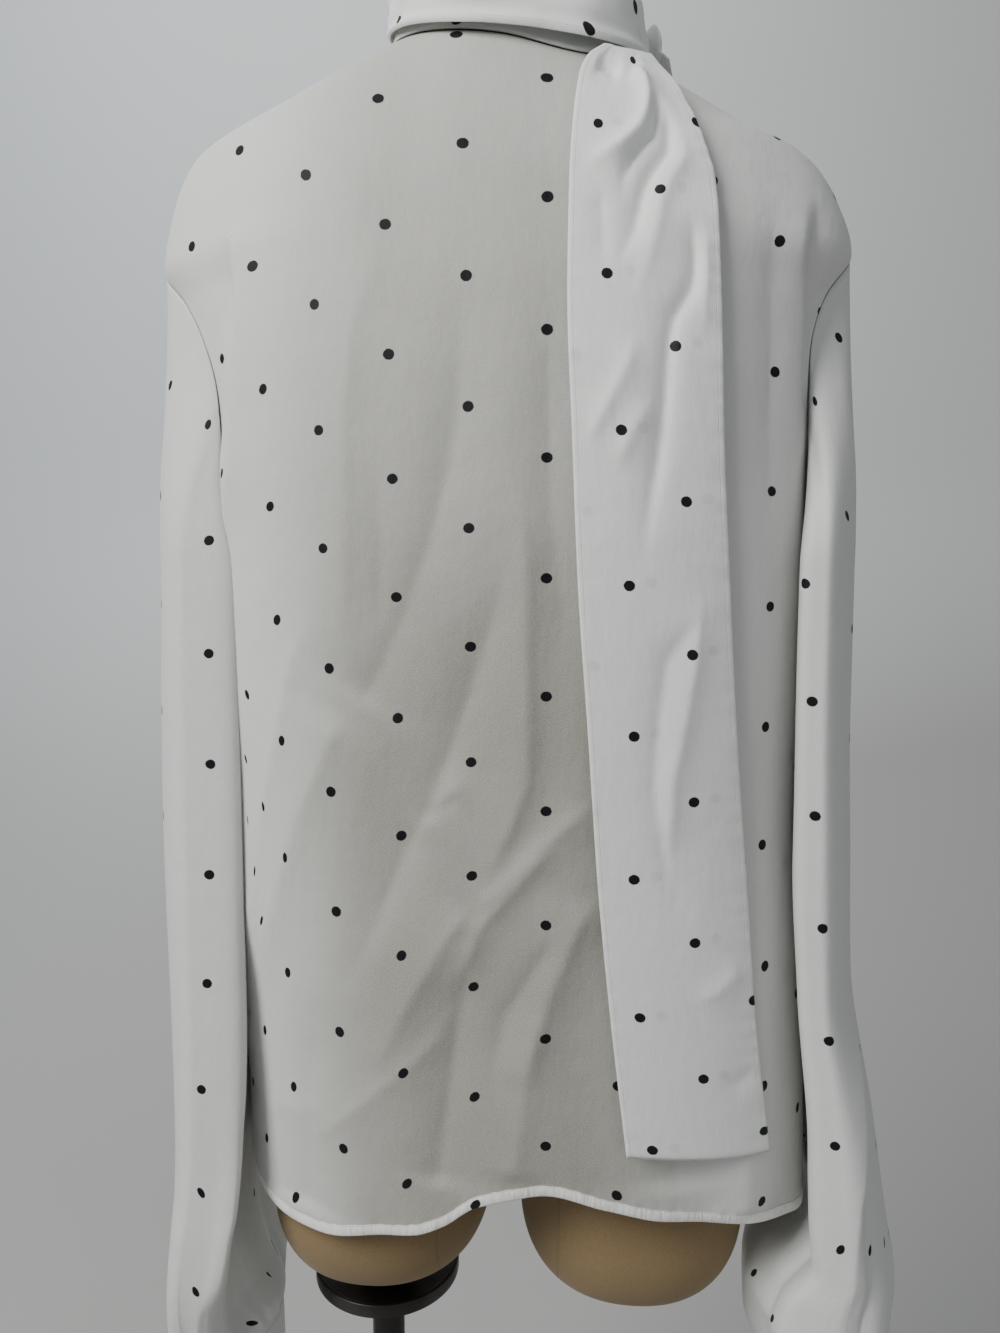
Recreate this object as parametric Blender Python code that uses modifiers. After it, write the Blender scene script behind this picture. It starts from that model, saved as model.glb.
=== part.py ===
"""Tie-neck blouse on a limbless dress form with its stand.

Metres, +Z up. The garment's front faces -Y and its back +Y, and the wearer's left is +X. The origin is on the
floor under the middle of the form. Each cloth piece is an open lattice of points, worked out from short tables
of sections, with a Solidify modifier that thickens it inwards.
"""

import math
from collections import namedtuple

import bpy
import numpy as np

# ---------------------------------------------------------------- driving sizes

CLOTH = 0.0012
SEAM_GAP = 0.0003
SLEEVE_SEAM_GAP = 0.0007
SLEEVE_CLEARANCE = 0.0022

NECK_SIDE_HEIGHT = 1.412
SIDE_SEAM_FADE = 0.12

ARMHOLE_TOP = 1.286
ARMHOLE_BOTTOM = 1.115
ARMHOLE_BACK_REACH_LEFT = 0.070
ARMHOLE_BACK_REACH_RIGHT = 0.046
ARMHOLE_FRONT_REACH = 0.064

BODY_ROWS = 9
ARMHOLE_ROWS = 12
YOKE_ROWS = 8
BACK_COLUMNS = 28
FRONT_COLUMNS = 18
SLEEVE_CAP_ROWS = 5
SLEEVE_ROWS = 14
SLEEVE_COLUMNS = 2 * ARMHOLE_ROWS
SLEEVE_CAP_SWING = 1.3
SLEEVE_SEAM_OUTWARD = 0.8
GATHERS = 6

CUFF_TOP = 0.580
CUFF_DEPTH = 0.048
CUFF_HALF_WIDTH = 0.031
CUFF_HALF_LENGTH = 0.042
CUFF_FORWARD = 0.012
CUFF_FLARE = 0.0008

BAND_COLUMNS = 24
BAND_RISES = (0.0, 0.35, 1.0)
BAND_SEAM_RISE = 0.0014
BAND_TOP = 1.452
BAND_TOP_HALF_WIDTH = 0.0635
BAND_TOP_HALF_LENGTH = 0.0600
WRAP_COLUMNS = 36
WRAP_ROWS = 4
WRAP_TOP_ABOVE_BAND = 0.006
WRAP_SWELL = 0.0015
KNOT_BEARING = 197
KNOT_HALF_SPREAD = 12
KNOT_HALF_HEIGHT = 0.015
KNOT_HALF_DEPTH = 0.0030
KNOT_HEIGHT = 1.424
KNOT_LEAN = 0.15
KNOT_GAP = 0.0012
TIE_THICKNESS = 0.0015
TAIL_COLUMNS = 8
BACK_TAIL_ROWS = 22
FRONT_TAIL_ROWS = 14

STUMP_SPACING = 0.0843
STUMP_HALF_WIDTH = 0.0740
STUMP_HALF_LENGTH = 0.080
STUMP_BOTTOM = 0.640
STUMP_TOP = 0.790
STUMP_ROUNDING = 0.045
STUMP_END_SHARE = 0.62
STUMP_SQUARENESS = 2.2
STUMP_TOP_INSET = 0.004
STUMP_INSET_START = 0.700
STUMP_COLUMNS = 24
STUMP_DROPS = (1.0, 0.985, 0.95, 0.89, 0.80, 0.71, 0.5, 0.25, 0.0)
FORM_COLUMNS = 28

POLE_X = 0.0843
POLE_RADIUS = 0.0112
POLE_CLEARANCE = 0.0004
POLE_SOCKET_DEPTH = 0.060
POLE_TOP_GAP = 0.0012
POLE_COLUMNS = 24
FLANGE_RADIUS = 0.050
FLANGE_DISH_HEIGHT = 0.614
FLANGE_RIM_RISE = 0.006
FLANGE_THICKNESS = 0.003
FLANGE_HUB_RADIUS = 0.019
FLANGE_HUB_DROP = 0.012
FLANGE_COLUMNS = 32
BASE_RADIUS = 0.168
BASE_THICKNESS = 0.008
BASE_HUB_RADIUS = 0.022
BASE_HUB_HEIGHT = 0.045
BASE_BEVEL = 0.0015
BASE_COLUMNS = 56

# ---------------------------------------------------------------- tables

BodySection = namedtuple("BodySection", "height half_width back front sway roll squareness")
BODY_SECTIONS = [
    BodySection(0.690, 0.185, 0.100, 0.132, -0.012, 0.0, 2.5),
    BodySection(0.780, 0.183, 0.106, 0.136, -0.011, 0.0, 2.5),
    BodySection(0.860, 0.180, 0.110, 0.139, -0.009, 0.0, 2.5),
    BodySection(0.960, 0.178, 0.114, 0.142, -0.005, 0.0, 2.5),
    BodySection(1.030, 0.180, 0.117, 0.145, -0.005, 0.0, 2.5),
    BodySection(1.115, 0.181, 0.119, 0.148, -0.005, 0.0, 2.5),
    BodySection(1.160, 0.183, 0.118, 0.148, -0.003, 0.0, 2.5),
    BodySection(1.207, 0.186, 0.116, 0.143, 0.000, 0.0, 2.5),
    BodySection(1.236, 0.191, 0.113, 0.137, 0.003, 0.0, 2.45),
    BodySection(1.260, 0.199, 0.110, 0.130, 0.004, 0.0, 2.35),
    BodySection(1.286, 0.2115, 0.105, 0.121, 0.004, 0.0, 2.25),
    BodySection(1.318, 0.204, 0.098, 0.110, 0.005, 0.015, 2.15),
    BodySection(1.336, 0.196, 0.092, 0.102, 0.006, 0.025, 2.1),
    BodySection(1.348, 0.186, 0.087, 0.095, 0.007, 0.03, 2.1),
    BodySection(1.362, 0.160, 0.081, 0.086, 0.007, 0.04, 2.05),
    BodySection(1.378, 0.131, 0.074, 0.076, 0.006, 0.04, 2.0),
    BodySection(1.394, 0.100, 0.067, 0.064, 0.004, 0.04, 2.0),
    BodySection(1.412, 0.065, 0.050, 0.046, 0.001, 0.04, 2.0),
]

# Edges that run round the body: a bearing of 0 is the wearer's left side, 90 the back, 180 the right side.
# The hem rises over the middle of the back and hangs lower over each side of the seat.
EdgePoint = namedtuple("EdgePoint", "bearing height")
NECK = [
    EdgePoint(0, NECK_SIDE_HEIGHT),
    EdgePoint(50, 1.405),
    EdgePoint(80, 1.399),
    EdgePoint(95, 1.395),
    EdgePoint(118, 1.386),
    EdgePoint(135, 1.390),
    EdgePoint(150, 1.397),
    EdgePoint(180, 1.405),
    EdgePoint(225, 1.397),
    EdgePoint(270, 1.388),
    EdgePoint(315, 1.400),
    EdgePoint(360, NECK_SIDE_HEIGHT),
]
HEM = [
    EdgePoint(0, 0.712),
    EdgePoint(16, 0.709),
    EdgePoint(32, 0.702),
    EdgePoint(50, 0.696),
    EdgePoint(64, 0.700),
    EdgePoint(77, 0.708),
    EdgePoint(82, 0.716),
    EdgePoint(87, 0.731),
    EdgePoint(95, 0.740),
    EdgePoint(103, 0.733),
    EdgePoint(114, 0.7245),
    EdgePoint(133, 0.716),
    EdgePoint(151, 0.708),
    EdgePoint(166, 0.701),
    EdgePoint(180, 0.704),
    EdgePoint(215, 0.700),
    EdgePoint(245, 0.708),
    EdgePoint(270, 0.722),
    EdgePoint(300, 0.708),
    EdgePoint(330, 0.703),
    EdgePoint(360, 0.712),
]

# Soft troughs (negative lift) and ridges of the cloth, each along a straight stretch from x0, z0 to x1, z1.
Fold = namedtuple("Fold", "x0 z0 x1 z1 width lift")
BACK_FOLDS = [
    Fold(0.011, 1.251, 0.032, 1.100, 0.020, -0.003),
    Fold(0.032, 1.100, 0.074, 1.010, 0.020, -0.004),
    Fold(-0.010, 1.115, 0.083, 0.857, 0.017, -0.005),
    Fold(-0.023, 1.070, 0.043, 0.947, 0.018, 0.003),
    Fold(-0.032, 0.983, 0.034, 0.874, 0.017, -0.004),
    Fold(-0.060, 0.922, -0.014, 0.812, 0.018, -0.004),
    Fold(0.015, 0.861, 0.022, 0.735, 0.020, -0.005),
    Fold(0.112, 1.060, 0.136, 0.830, 0.020, 0.005),
    Fold(-0.146, 1.283, -0.150, 1.120, 0.018, -0.005),
]
FRONT_FOLDS = [
    Fold(-0.080, 1.150, -0.095, 0.760, 0.024, -0.006),
    Fold(0.060, 1.160, 0.085, 0.740, 0.024, -0.006),
    Fold(0.000, 1.080, -0.012, 0.740, 0.022, -0.005),
    Fold(0.125, 1.140, 0.135, 0.780, 0.022, 0.004),
    Fold(-0.130, 1.140, -0.142, 0.780, 0.022, 0.004),
]

# A sleeve's sections. inner and outer are distances from the middle plane, back and front are reaches from it,
# bend curls the section round the body's side, and ruffle is the height of the gathers' waves above the cuff.
SleeveSection = namedtuple("SleeveSection", "height inner outer back front bend ruffle")
LEFT_SLEEVE = [
    SleeveSection(0.580, 0.1600, 0.2220, 0.054, 0.030, 0.0, 0.0),
    SleeveSection(0.592, 0.1590, 0.2222, 0.072, 0.048, 0.0, 0.0020),
    SleeveSection(0.615, 0.1610, 0.2228, 0.090, 0.068, 0.2, 0.0030),
    SleeveSection(0.650, 0.1640, 0.2235, 0.094, 0.074, 0.6, 0.0024),
    SleeveSection(0.686, 0.1720, 0.2245, 0.092, 0.078, 1.2, 0.0012),
    SleeveSection(0.704, 0.1790, 0.2252, 0.090, 0.079, 1.6, 0.0008),
    SleeveSection(0.740, 0.1810, 0.2262, 0.087, 0.080, 2.1, 0.0004),
    SleeveSection(0.820, 0.1810, 0.2272, 0.084, 0.081, 2.5, 0.0),
    SleeveSection(0.920, 0.1795, 0.2262, 0.081, 0.082, 2.6, 0.0),
    SleeveSection(1.020, 0.1790, 0.2232, 0.079, 0.082, 2.6, 0.0),
    SleeveSection(1.100, 0.1790, 0.2210, 0.078, 0.082, 2.7, 0.0),
]
RIGHT_SLEEVE = [
    SleeveSection(0.580, 0.1740, 0.2360, 0.054, 0.030, 0.0, 0.0),
    SleeveSection(0.592, 0.1700, 0.2375, 0.074, 0.050, 0.0, 0.0020),
    SleeveSection(0.618, 0.1620, 0.2430, 0.094, 0.072, 0.3, 0.0030),
    SleeveSection(0.646, 0.1600, 0.2515, 0.101, 0.079, 0.8, 0.0024),
    SleeveSection(0.672, 0.1740, 0.2490, 0.099, 0.081, 1.4, 0.0014),
    SleeveSection(0.698, 0.2010, 0.2445, 0.098, 0.082, 2.2, 0.0006),
    SleeveSection(0.765, 0.2010, 0.2350, 0.096, 0.085, 3.0, 0.0002),
    SleeveSection(0.860, 0.1940, 0.2195, 0.092, 0.087, 3.8, 0.0),
    SleeveSection(0.940, 0.1890, 0.2165, 0.091, 0.087, 4.0, 0.0),
    SleeveSection(1.020, 0.1890, 0.2135, 0.090, 0.088, 4.0, 0.0),
    SleeveSection(1.100, 0.1890, 0.2125, 0.088, 0.088, 4.0, 0.0),
]

# The turn of the tie round the collar: its radius, the height of its lower edge, and its lean in at the top.
WrapStation = namedtuple("WrapStation", "bearing radius low lean")
WRAP = [
    WrapStation(0, 0.0712, 1.4245, 0.002),
    WrapStation(40, 0.0730, 1.4110, 0.003),
    WrapStation(75, 0.0735, 1.4000, 0.003),
    WrapStation(90, 0.0740, 1.3970, 0.003),
    WrapStation(110, 0.0785, 1.3930, 0.004),
    WrapStation(130, 0.0885, 1.3890, 0.012),
    WrapStation(150, 0.0915, 1.3910, 0.017),
    WrapStation(165, 0.0905, 1.3950, 0.017),
    WrapStation(180, 0.0895, 1.4010, 0.017),
    WrapStation(200, 0.0890, 1.4080, 0.015),
    WrapStation(225, 0.0870, 1.4050, 0.009),
    WrapStation(270, 0.0800, 1.3960, 0.006),
    WrapStation(320, 0.0820, 1.4060, 0.008),
    WrapStation(342, 0.0750, 1.4160, 0.005),
    WrapStation(360, 0.0712, 1.4245, 0.002),
]

# Rows down a hanging end of the tie: the x of its two edges, how far it stands off the panel under it, the
# height of its lengthwise ripples, and how much lower its right edge is than its left one.
TailRow = namedtuple("TailRow", "height left right lift ripple slant")
BACK_TAIL = [
    TailRow(1.3820, -0.0600, -0.0930, 0.0060, 0.0, 0.002),
    TailRow(1.3740, -0.0520, -0.1010, 0.0065, 0.0030, 0.004),
    TailRow(1.3600, -0.0475, -0.1075, 0.0065, 0.0045, 0.005),
    TailRow(1.3300, -0.0447, -0.1145, 0.0065, 0.0045, 0.004),
    TailRow(1.3000, -0.0435, -0.1198, 0.0060, 0.0035, 0.0),
    TailRow(1.2500, -0.0433, -0.1228, 0.0060, 0.0025, 0.0),
    TailRow(1.1700, -0.0466, -0.1256, 0.0060, 0.0018, 0.0),
    TailRow(1.0920, -0.0503, -0.1306, 0.0060, 0.0012, 0.0),
    TailRow(1.0120, -0.0562, -0.1369, 0.0060, 0.0008, 0.002),
    TailRow(0.9300, -0.0620, -0.1450, 0.0060, 0.0006, 0.004),
    TailRow(0.8500, -0.0700, -0.1528, 0.0060, 0.0004, 0.007),
    TailRow(0.7710, -0.0795, -0.1640, 0.0065, 0.0, 0.010),
]
FRONT_TAIL = [
    TailRow(1.3980, -0.0920, -0.0990, 0.0140, 0.0, 0.004),
    TailRow(1.3920, -0.0840, -0.1080, 0.0080, 0.0010, 0.010),
    TailRow(1.3780, -0.0720, -0.1180, 0.0065, 0.0030, 0.010),
    TailRow(1.3500, -0.0600, -0.1250, 0.0070, 0.0035, 0.004),
    TailRow(1.3100, -0.0560, -0.1320, 0.0070, 0.0035, 0.0),
    TailRow(1.2500, -0.0520, -0.1340, 0.0070, 0.0025, 0.0),
    TailRow(1.1500, -0.0520, -0.1360, 0.0070, 0.0015, 0.0),
    TailRow(1.0300, -0.0540, -0.1390, 0.0070, 0.0010, 0.0),
    TailRow(0.9100, -0.0570, -0.1430, 0.0070, 0.0005, 0.0),
    TailRow(0.8000, -0.0600, -0.1460, 0.0070, 0.0, 0.0),
]

FormSection = namedtuple("FormSection", "height half_width back front squareness")
FORM_SECTIONS = [
    FormSection(0.742, 0.1560, 0.0830, 0.0830, 2.5),
    FormSection(0.775, 0.1590, 0.0900, 0.0860, 2.4),
    FormSection(0.820, 0.1600, 0.0960, 0.0880, 2.3),
    FormSection(0.880, 0.1520, 0.0930, 0.0880, 2.2),
    FormSection(0.950, 0.1330, 0.0830, 0.0850, 2.1),
    FormSection(1.010, 0.1220, 0.0780, 0.0830, 2.1),
    FormSection(1.070, 0.1290, 0.0830, 0.0950, 2.1),
    FormSection(1.130, 0.1430, 0.0930, 0.1150, 2.1),
    FormSection(1.180, 0.1540, 0.1000, 0.1280, 2.15),
    FormSection(1.230, 0.1650, 0.1010, 0.1160, 2.2),
    FormSection(1.275, 0.1760, 0.0960, 0.1010, 2.2),
    FormSection(1.310, 0.1800, 0.0890, 0.0900, 2.15),
    FormSection(1.335, 0.1720, 0.0820, 0.0820, 2.1),
    FormSection(1.352, 0.1520, 0.0750, 0.0730, 2.05),
    FormSection(1.368, 0.1240, 0.0670, 0.0630, 2.0),
    FormSection(1.384, 0.0920, 0.0590, 0.0560, 2.0),
    FormSection(1.400, 0.0680, 0.0540, 0.0520, 2.0),
    FormSection(1.416, 0.0580, 0.0520, 0.0510, 2.0),
    FormSection(1.440, 0.0555, 0.0515, 0.0510, 2.0),
    FormSection(1.462, 0.0550, 0.0510, 0.0510, 2.0),
    FormSection(1.467, 0.0525, 0.0485, 0.0485, 2.0),
]

# ---------------------------------------------------------------- curves and surfaces


def ease(rows, column, at):
    """One column of a table at a place along its first column, eased between the rows without overshoot."""
    ordered = sorted(rows, key=lambda row: row[0])
    keys = [row[0] for row in ordered]
    values = [getattr(row, column) for row in ordered]
    if at <= keys[0]:
        return values[0]
    if at >= keys[-1]:
        return values[-1]
    slopes = [(values[i + 1] - values[i]) / (keys[i + 1] - keys[i]) for i in range(len(keys) - 1)]
    i = int(np.searchsorted(keys, at, side="right")) - 1
    start = monotone_tangent(slopes, i - 1, i)
    end = monotone_tangent(slopes, i, i + 1)
    step = keys[i + 1] - keys[i]
    t = (at - keys[i]) / step
    return (
        values[i] * (1 + 2 * t) * (1 - t) ** 2
        + values[i + 1] * t * t * (3 - 2 * t)
        + step * start * t * (1 - t) ** 2
        - step * end * t * t * (1 - t)
    )


def monotone_tangent(slopes, before, after):
    """The tangent at a table row between two slopes: their harmonic mean, or zero at a turning point."""
    if before < 0:
        return slopes[after]
    if after >= len(slopes):
        return slopes[before]
    product = slopes[before] * slopes[after]
    if product <= 0:
        return 0.0
    return 2 * product / (slopes[before] + slopes[after])


def smoothstep(value):
    """0 below 0, 1 above 1, and a soft step between."""
    t = min(1.0, max(0.0, value))
    return t * t * (3 - 2 * t)


def oval(angle, half_width, half_length, squareness):
    """A point of a superellipse."""
    power = 2 / squareness
    x = half_width * math.copysign(abs(math.cos(angle)) ** power, math.cos(angle))
    y = half_length * math.copysign(abs(math.sin(angle)) ** power, math.sin(angle))
    return x, y


def body_depth(height, y):
    """The body's reach behind or in front of its middle at a height."""
    return ease(BODY_SECTIONS, "back" if y >= 0 else "front", height)


def body_point(angle, height, lift=0.0):
    """A point of the body's outer surface: 0 is the left side, half pi the back; lift moves it outwards."""
    half_width = ease(BODY_SECTIONS, "half_width", height)
    depth = body_depth(height, math.sin(angle))
    squareness = ease(BODY_SECTIONS, "squareness", height)
    x, y = oval(angle, half_width, depth, squareness)
    if lift:
        normal = np.array(oval(angle, 1 / half_width, 1 / depth, squareness / (squareness - 1)))
        normal /= np.linalg.norm(normal)
        x += lift * normal[0]
        y += lift * normal[1]
    sway = ease(BODY_SECTIONS, "sway", height)
    roll = ease(BODY_SECTIONS, "roll", height)
    return np.array([x + sway, y, height + roll * x])


def body_y(x, height, side):
    """The body's surface y at a place across it; side is 1 for the back and -1 for the front."""
    depth = body_depth(height, side)
    squareness = ease(BODY_SECTIONS, "squareness", height)
    across = abs(x - ease(BODY_SECTIONS, "sway", height)) / ease(BODY_SECTIONS, "half_width", height)
    return side * depth * max(0.0, 1 - across**squareness) ** (1 / squareness)


def body_reach(x, y, height):
    """Over 1 where a place is outside the body's section at that height, under 1 inside it."""
    squareness = ease(BODY_SECTIONS, "squareness", height)
    across = abs(x - ease(BODY_SECTIONS, "sway", height)) / ease(BODY_SECTIONS, "half_width", height)
    along = abs(y) / body_depth(height, y)
    return (across**squareness + along**squareness) ** (1 / squareness)


def stand_off(x, height, side, lift):
    """A place above the back (side 1) or front (side -1) of the body, moved out along its normal."""
    step = 0.0005
    y = body_y(x, height, side)
    probe = side * max(abs(y), 4 * step)
    up = body_reach(x, probe, height + step) - body_reach(x, probe, height - step)
    out = body_reach(x, probe + step, height) - body_reach(x, probe - step, height)
    normal = np.array([out, up]) / math.hypot(out, up)
    return np.array([x, y + lift * normal[0], height + lift * normal[1]])


def fold_lift(folds, x, height):
    """The summed lift of all folds at a place on a panel."""
    total = 0.0
    for fold in folds:
        run = np.array([fold.x1 - fold.x0, fold.z1 - fold.z0])
        place = np.array([x - fold.x0, height - fold.z0])
        along = float(np.clip(place @ run / (run @ run), 0.0, 1.0))
        distance = np.linalg.norm(place - along * run)
        total += fold.lift * math.exp(-((distance / fold.width) ** 2))
    return total


# ---------------------------------------------------------------- Blender helpers


def clear_scene():
    for item in list(bpy.data.objects):
        bpy.data.objects.remove(item, do_unlink=True)


def new_collection(name):
    collection = bpy.data.collections.new(name)
    bpy.context.scene.collection.children.link(collection)
    return collection


def make_material(name, colour, roughness, metallic=0.0):
    material = bpy.data.materials.new(name)
    material.use_nodes = True
    shader = material.node_tree.nodes["Principled BSDF"]
    shader.inputs["Base Color"].default_value = (*colour, 1.0)
    shader.inputs["Roughness"].default_value = roughness
    shader.inputs["Metallic"].default_value = metallic
    return material


def add_mesh(name, points, faces, material, collection):
    mesh = bpy.data.meshes.new(name)
    mesh.from_pydata([tuple(point) for point in points], [], faces)
    mesh.materials.append(material)
    mesh.shade_smooth()
    part = bpy.data.objects.new(name, mesh)
    collection.objects.link(part)
    return part


def lattice_faces(rows, columns, closed):
    """Quads between rows of points; a closed lattice joins its last column to its first."""
    faces = []
    for row in range(rows - 1):
        for column in range(columns if closed else columns - 1):
            beside = (column + 1) % columns
            faces.append(
                (
                    row * columns + column,
                    row * columns + beside,
                    (row + 1) * columns + beside,
                    (row + 1) * columns + column,
                )
            )
    return faces


def add_cloth(name, lattice, closed, material, collection, thickness=CLOTH):
    """A wall of cloth from rows of points that run anticlockwise seen from above, lowest row first."""
    points = [point for row in lattice for point in row]
    faces = lattice_faces(len(lattice), len(lattice[0]), closed)
    cloth = add_mesh(name, points, faces, material, collection)
    wall = cloth.modifiers.new("Cloth thickness", "SOLIDIFY")
    wall.thickness = thickness
    wall.offset = -1
    return cloth


def add_solid_loft(name, rings, material, collection):
    """A closed solid through rings of points, lowest first, with a flat cap at each end."""
    columns = len(rings[0])
    points = [point for ring in rings for point in ring]
    faces = lattice_faces(len(rings), columns, True)
    faces.append(tuple(reversed(range(columns))))
    last = (len(rings) - 1) * columns
    faces.append(tuple(range(last, last + columns)))
    return add_mesh(name, points, faces, material, collection)


def add_turned(name, profile, place, steps, material, collection):
    """A turned piece: a closed profile of (radius, height) pairs, outer side from the top down."""
    mesh = bpy.data.meshes.new(name)
    points = [(radius, 0.0, height) for radius, height in profile]
    count = len(points)
    on_axis = profile[0][0] == 0.0 and profile[-1][0] == 0.0
    edges = [(i, (i + 1) % count) for i in range(count - 1 if on_axis else count)]
    mesh.from_pydata(points, edges, [])
    mesh.materials.append(material)
    part = bpy.data.objects.new(name, mesh)
    part.location = place
    collection.objects.link(part)
    turn = part.modifiers.new("Turned", "SCREW")
    turn.steps = steps
    turn.render_steps = steps
    turn.use_merge_vertices = True
    turn.merge_threshold = 0.00001
    turn.use_normal_calculate = False
    turn.use_smooth_shade = True
    return part


def mark_cutter(cutter, collection):
    """Keeps a cutter out of the part."""
    for owner in list(cutter.users_collection):
        owner.objects.unlink(cutter)
    collection.objects.link(cutter)
    cutter.hide_render = True
    cutter.display_type = "WIRE"


def apply_boolean(part, other, operation):
    cut = part.modifiers.new(operation.title(), "BOOLEAN")
    cut.object = other
    cut.operation = operation
    cut.solver = "EXACT"


# ---------------------------------------------------------------- body panels


def armhole_heights():
    """Heights up the armhole, close together at its ends, where it turns."""
    middle = (ARMHOLE_TOP + ARMHOLE_BOTTOM) / 2
    half = (ARMHOLE_TOP - ARMHOLE_BOTTOM) / 2
    return [middle - half * math.cos(math.pi * row / ARMHOLE_ROWS) for row in range(ARMHOLE_ROWS + 1)]


def armhole_y(height, facing, side):
    """How far the armhole seam lies behind (facing 1) or in front (-1) of the side seam."""
    middle = (ARMHOLE_TOP + ARMHOLE_BOTTOM) / 2
    half = (ARMHOLE_TOP - ARMHOLE_BOTTOM) / 2
    reach = ARMHOLE_FRONT_REACH
    if facing > 0:
        reach = ARMHOLE_BACK_REACH_LEFT if side > 0 else ARMHOLE_BACK_REACH_RIGHT
    inside = 1 - ((height - middle) / half) ** 2
    return max(SEAM_GAP / 2, reach * math.sqrt(max(0.0, inside)))


def edge_angle(height, facing, side):
    """The turn from the side of the body to the panel's edge at a height."""
    squareness = ease(BODY_SECTIONS, "squareness", height)
    ratio = armhole_y(height, facing, side) / body_depth(height, facing)
    return math.asin(ratio ** (squareness / 2))


def yoke_fractions():
    """Fractions from the armhole's top up to the neck that divide the shoulder line evenly."""
    heights = np.linspace(ARMHOLE_TOP, NECK_SIDE_HEIGHT, 200)
    widths = np.array([ease(BODY_SECTIONS, "half_width", height) for height in heights])
    lengths = np.concatenate([[0.0], np.cumsum(np.hypot(np.diff(heights), np.diff(widths)))])
    even = np.linspace(0.0, lengths[-1], YOKE_ROWS + 1)[1:]
    return (np.interp(even, lengths, heights) - ARMHOLE_TOP) / (NECK_SIDE_HEIGHT - ARMHOLE_TOP)


def neck_height(angle):
    """The height of the neck seam round the body."""
    return ease(NECK, "height", math.degrees(angle) % 360)


def hem_height(angle):
    return ease(HEM, "height", math.degrees(angle) % 360)


def column_heights(angle):
    """Heights up one column of a panel: body rows, armhole rows, then yoke rows."""
    hem = hem_height(angle)
    neck = neck_height(angle)
    body = [hem + (ARMHOLE_BOTTOM - hem) * row / BODY_ROWS for row in range(BODY_ROWS)]
    yoke = [ARMHOLE_TOP + (neck - ARMHOLE_TOP) * fraction for fraction in yoke_fractions()]
    return body + armhole_heights() + yoke


def panel_lattice(facing, columns, folds):
    """Points of the back (facing 1) or front (facing -1) panel, in rows from the hem to the neck."""
    start = 0.0 if facing > 0 else math.pi
    table = []
    for column in range(columns + 1):
        across = column / columns
        fade = smoothstep(across / SIDE_SEAM_FADE) * smoothstep((1 - across) / SIDE_SEAM_FADE)
        points = []
        for height in column_heights(start + math.pi * across):
            first = edge_angle(height, facing, facing)
            last = math.pi - edge_angle(height, facing, -facing)
            angle = start + first + (last - first) * across
            x = body_point(angle, height)[0]
            points.append(body_point(angle, height, fade * fold_lift(folds, x, height)))
        table.append(points)
    return [list(row) for row in zip(*table)]


# ---------------------------------------------------------------- sleeves and cuffs


def armhole_point(turn, side):
    """A point of the armhole seam: turn runs from the top over the back, the underarm and the front."""
    middle = (ARMHOLE_TOP + ARMHOLE_BOTTOM) / 2
    half = (ARMHOLE_TOP - ARMHOLE_BOTTOM) / 2
    height = middle + half * math.cos(turn)
    facing = 1 if math.sin(turn) >= 0 else -1
    angle = facing * edge_angle(height, facing, side)
    if side < 0:
        angle = math.pi - angle
    return body_point(angle, height)


def sleeve_point(table, side, turn, height):
    """A point of a sleeve's hanging part: turn 0 is its outer side, a quarter turn its back."""
    inner = ease(table, "inner", height)
    outer = ease(table, "outer", height)
    back = ease(table, "back", height)
    front = ease(table, "front", height)
    ruffle = ease(table, "ruffle", height) * math.cos(GATHERS * turn)
    centre = (outer + inner) / 2
    half_width = (outer - inner) / 2 + ruffle
    half_length = (back + front) / 2 + ruffle
    x, y = oval(turn, half_width, half_length, 2.0)
    distance = centre + x - ease(table, "bend", height) * y * y
    return np.array([side * distance, y + (back - front) / 2, height])


def keep_off_body(point, clearance):
    """Moves a sleeve point out of the body's section until it clears it; below the hem the point stays."""
    x, y, height = point
    sway = ease(BODY_SECTIONS, "sway", height)
    reach = body_reach(x, y, height)
    wanted = 1 + clearance / ease(BODY_SECTIONS, "half_width", height)
    if reach >= wanted or height < BODY_SECTIONS[0].height:
        return point
    scale = wanted / reach
    return np.array([sway + (x - sway) * scale, y * scale, height])


def sleeve_lattice(table, side):
    """Rows of a sleeve from the cuff seam up to the armhole seam."""
    turns = [2 * math.pi * column / SLEEVE_COLUMNS for column in range(SLEEVE_COLUMNS)]
    heights = np.array([row.height for row in table])
    places = np.linspace(0, len(heights) - 1, SLEEVE_ROWS + 1)
    rows = []
    for height in np.interp(places, range(len(heights)), heights):
        ring = [sleeve_point(table, side, turn, height) for turn in turns]
        rows.append([keep_off_body(point, SLEEVE_CLEARANCE) for point in ring])
    cap_base = rows[-1]
    for row in range(1, SLEEVE_CAP_ROWS):
        share = row / SLEEVE_CAP_ROWS
        spread = smoothstep(share) ** SLEEVE_CAP_SWING
        ring = []
        for base, turn in zip(cap_base, turns):
            seam = armhole_point(turn, side)
            point = base + (seam - base) * np.array([spread, spread, share])
            clearance = SLEEVE_CLEARANCE * (1 - share) + SLEEVE_SEAM_GAP * 2
            ring.append(keep_off_body(point, clearance))
        rows.append(ring)
    seam_ring = []
    for below, turn in zip(rows[-1], turns):
        seam = armhole_point(turn, side)
        away = (below - seam) / np.linalg.norm(below - seam)
        away = away + np.array([side * SLEEVE_SEAM_OUTWARD, 0.0, 0.0])
        seam_ring.append(seam + SLEEVE_SEAM_GAP * away / np.linalg.norm(away))
    rows.append(seam_ring)
    if side < 0:
        rows = [list(reversed(row)) for row in rows]
    return rows


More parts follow.
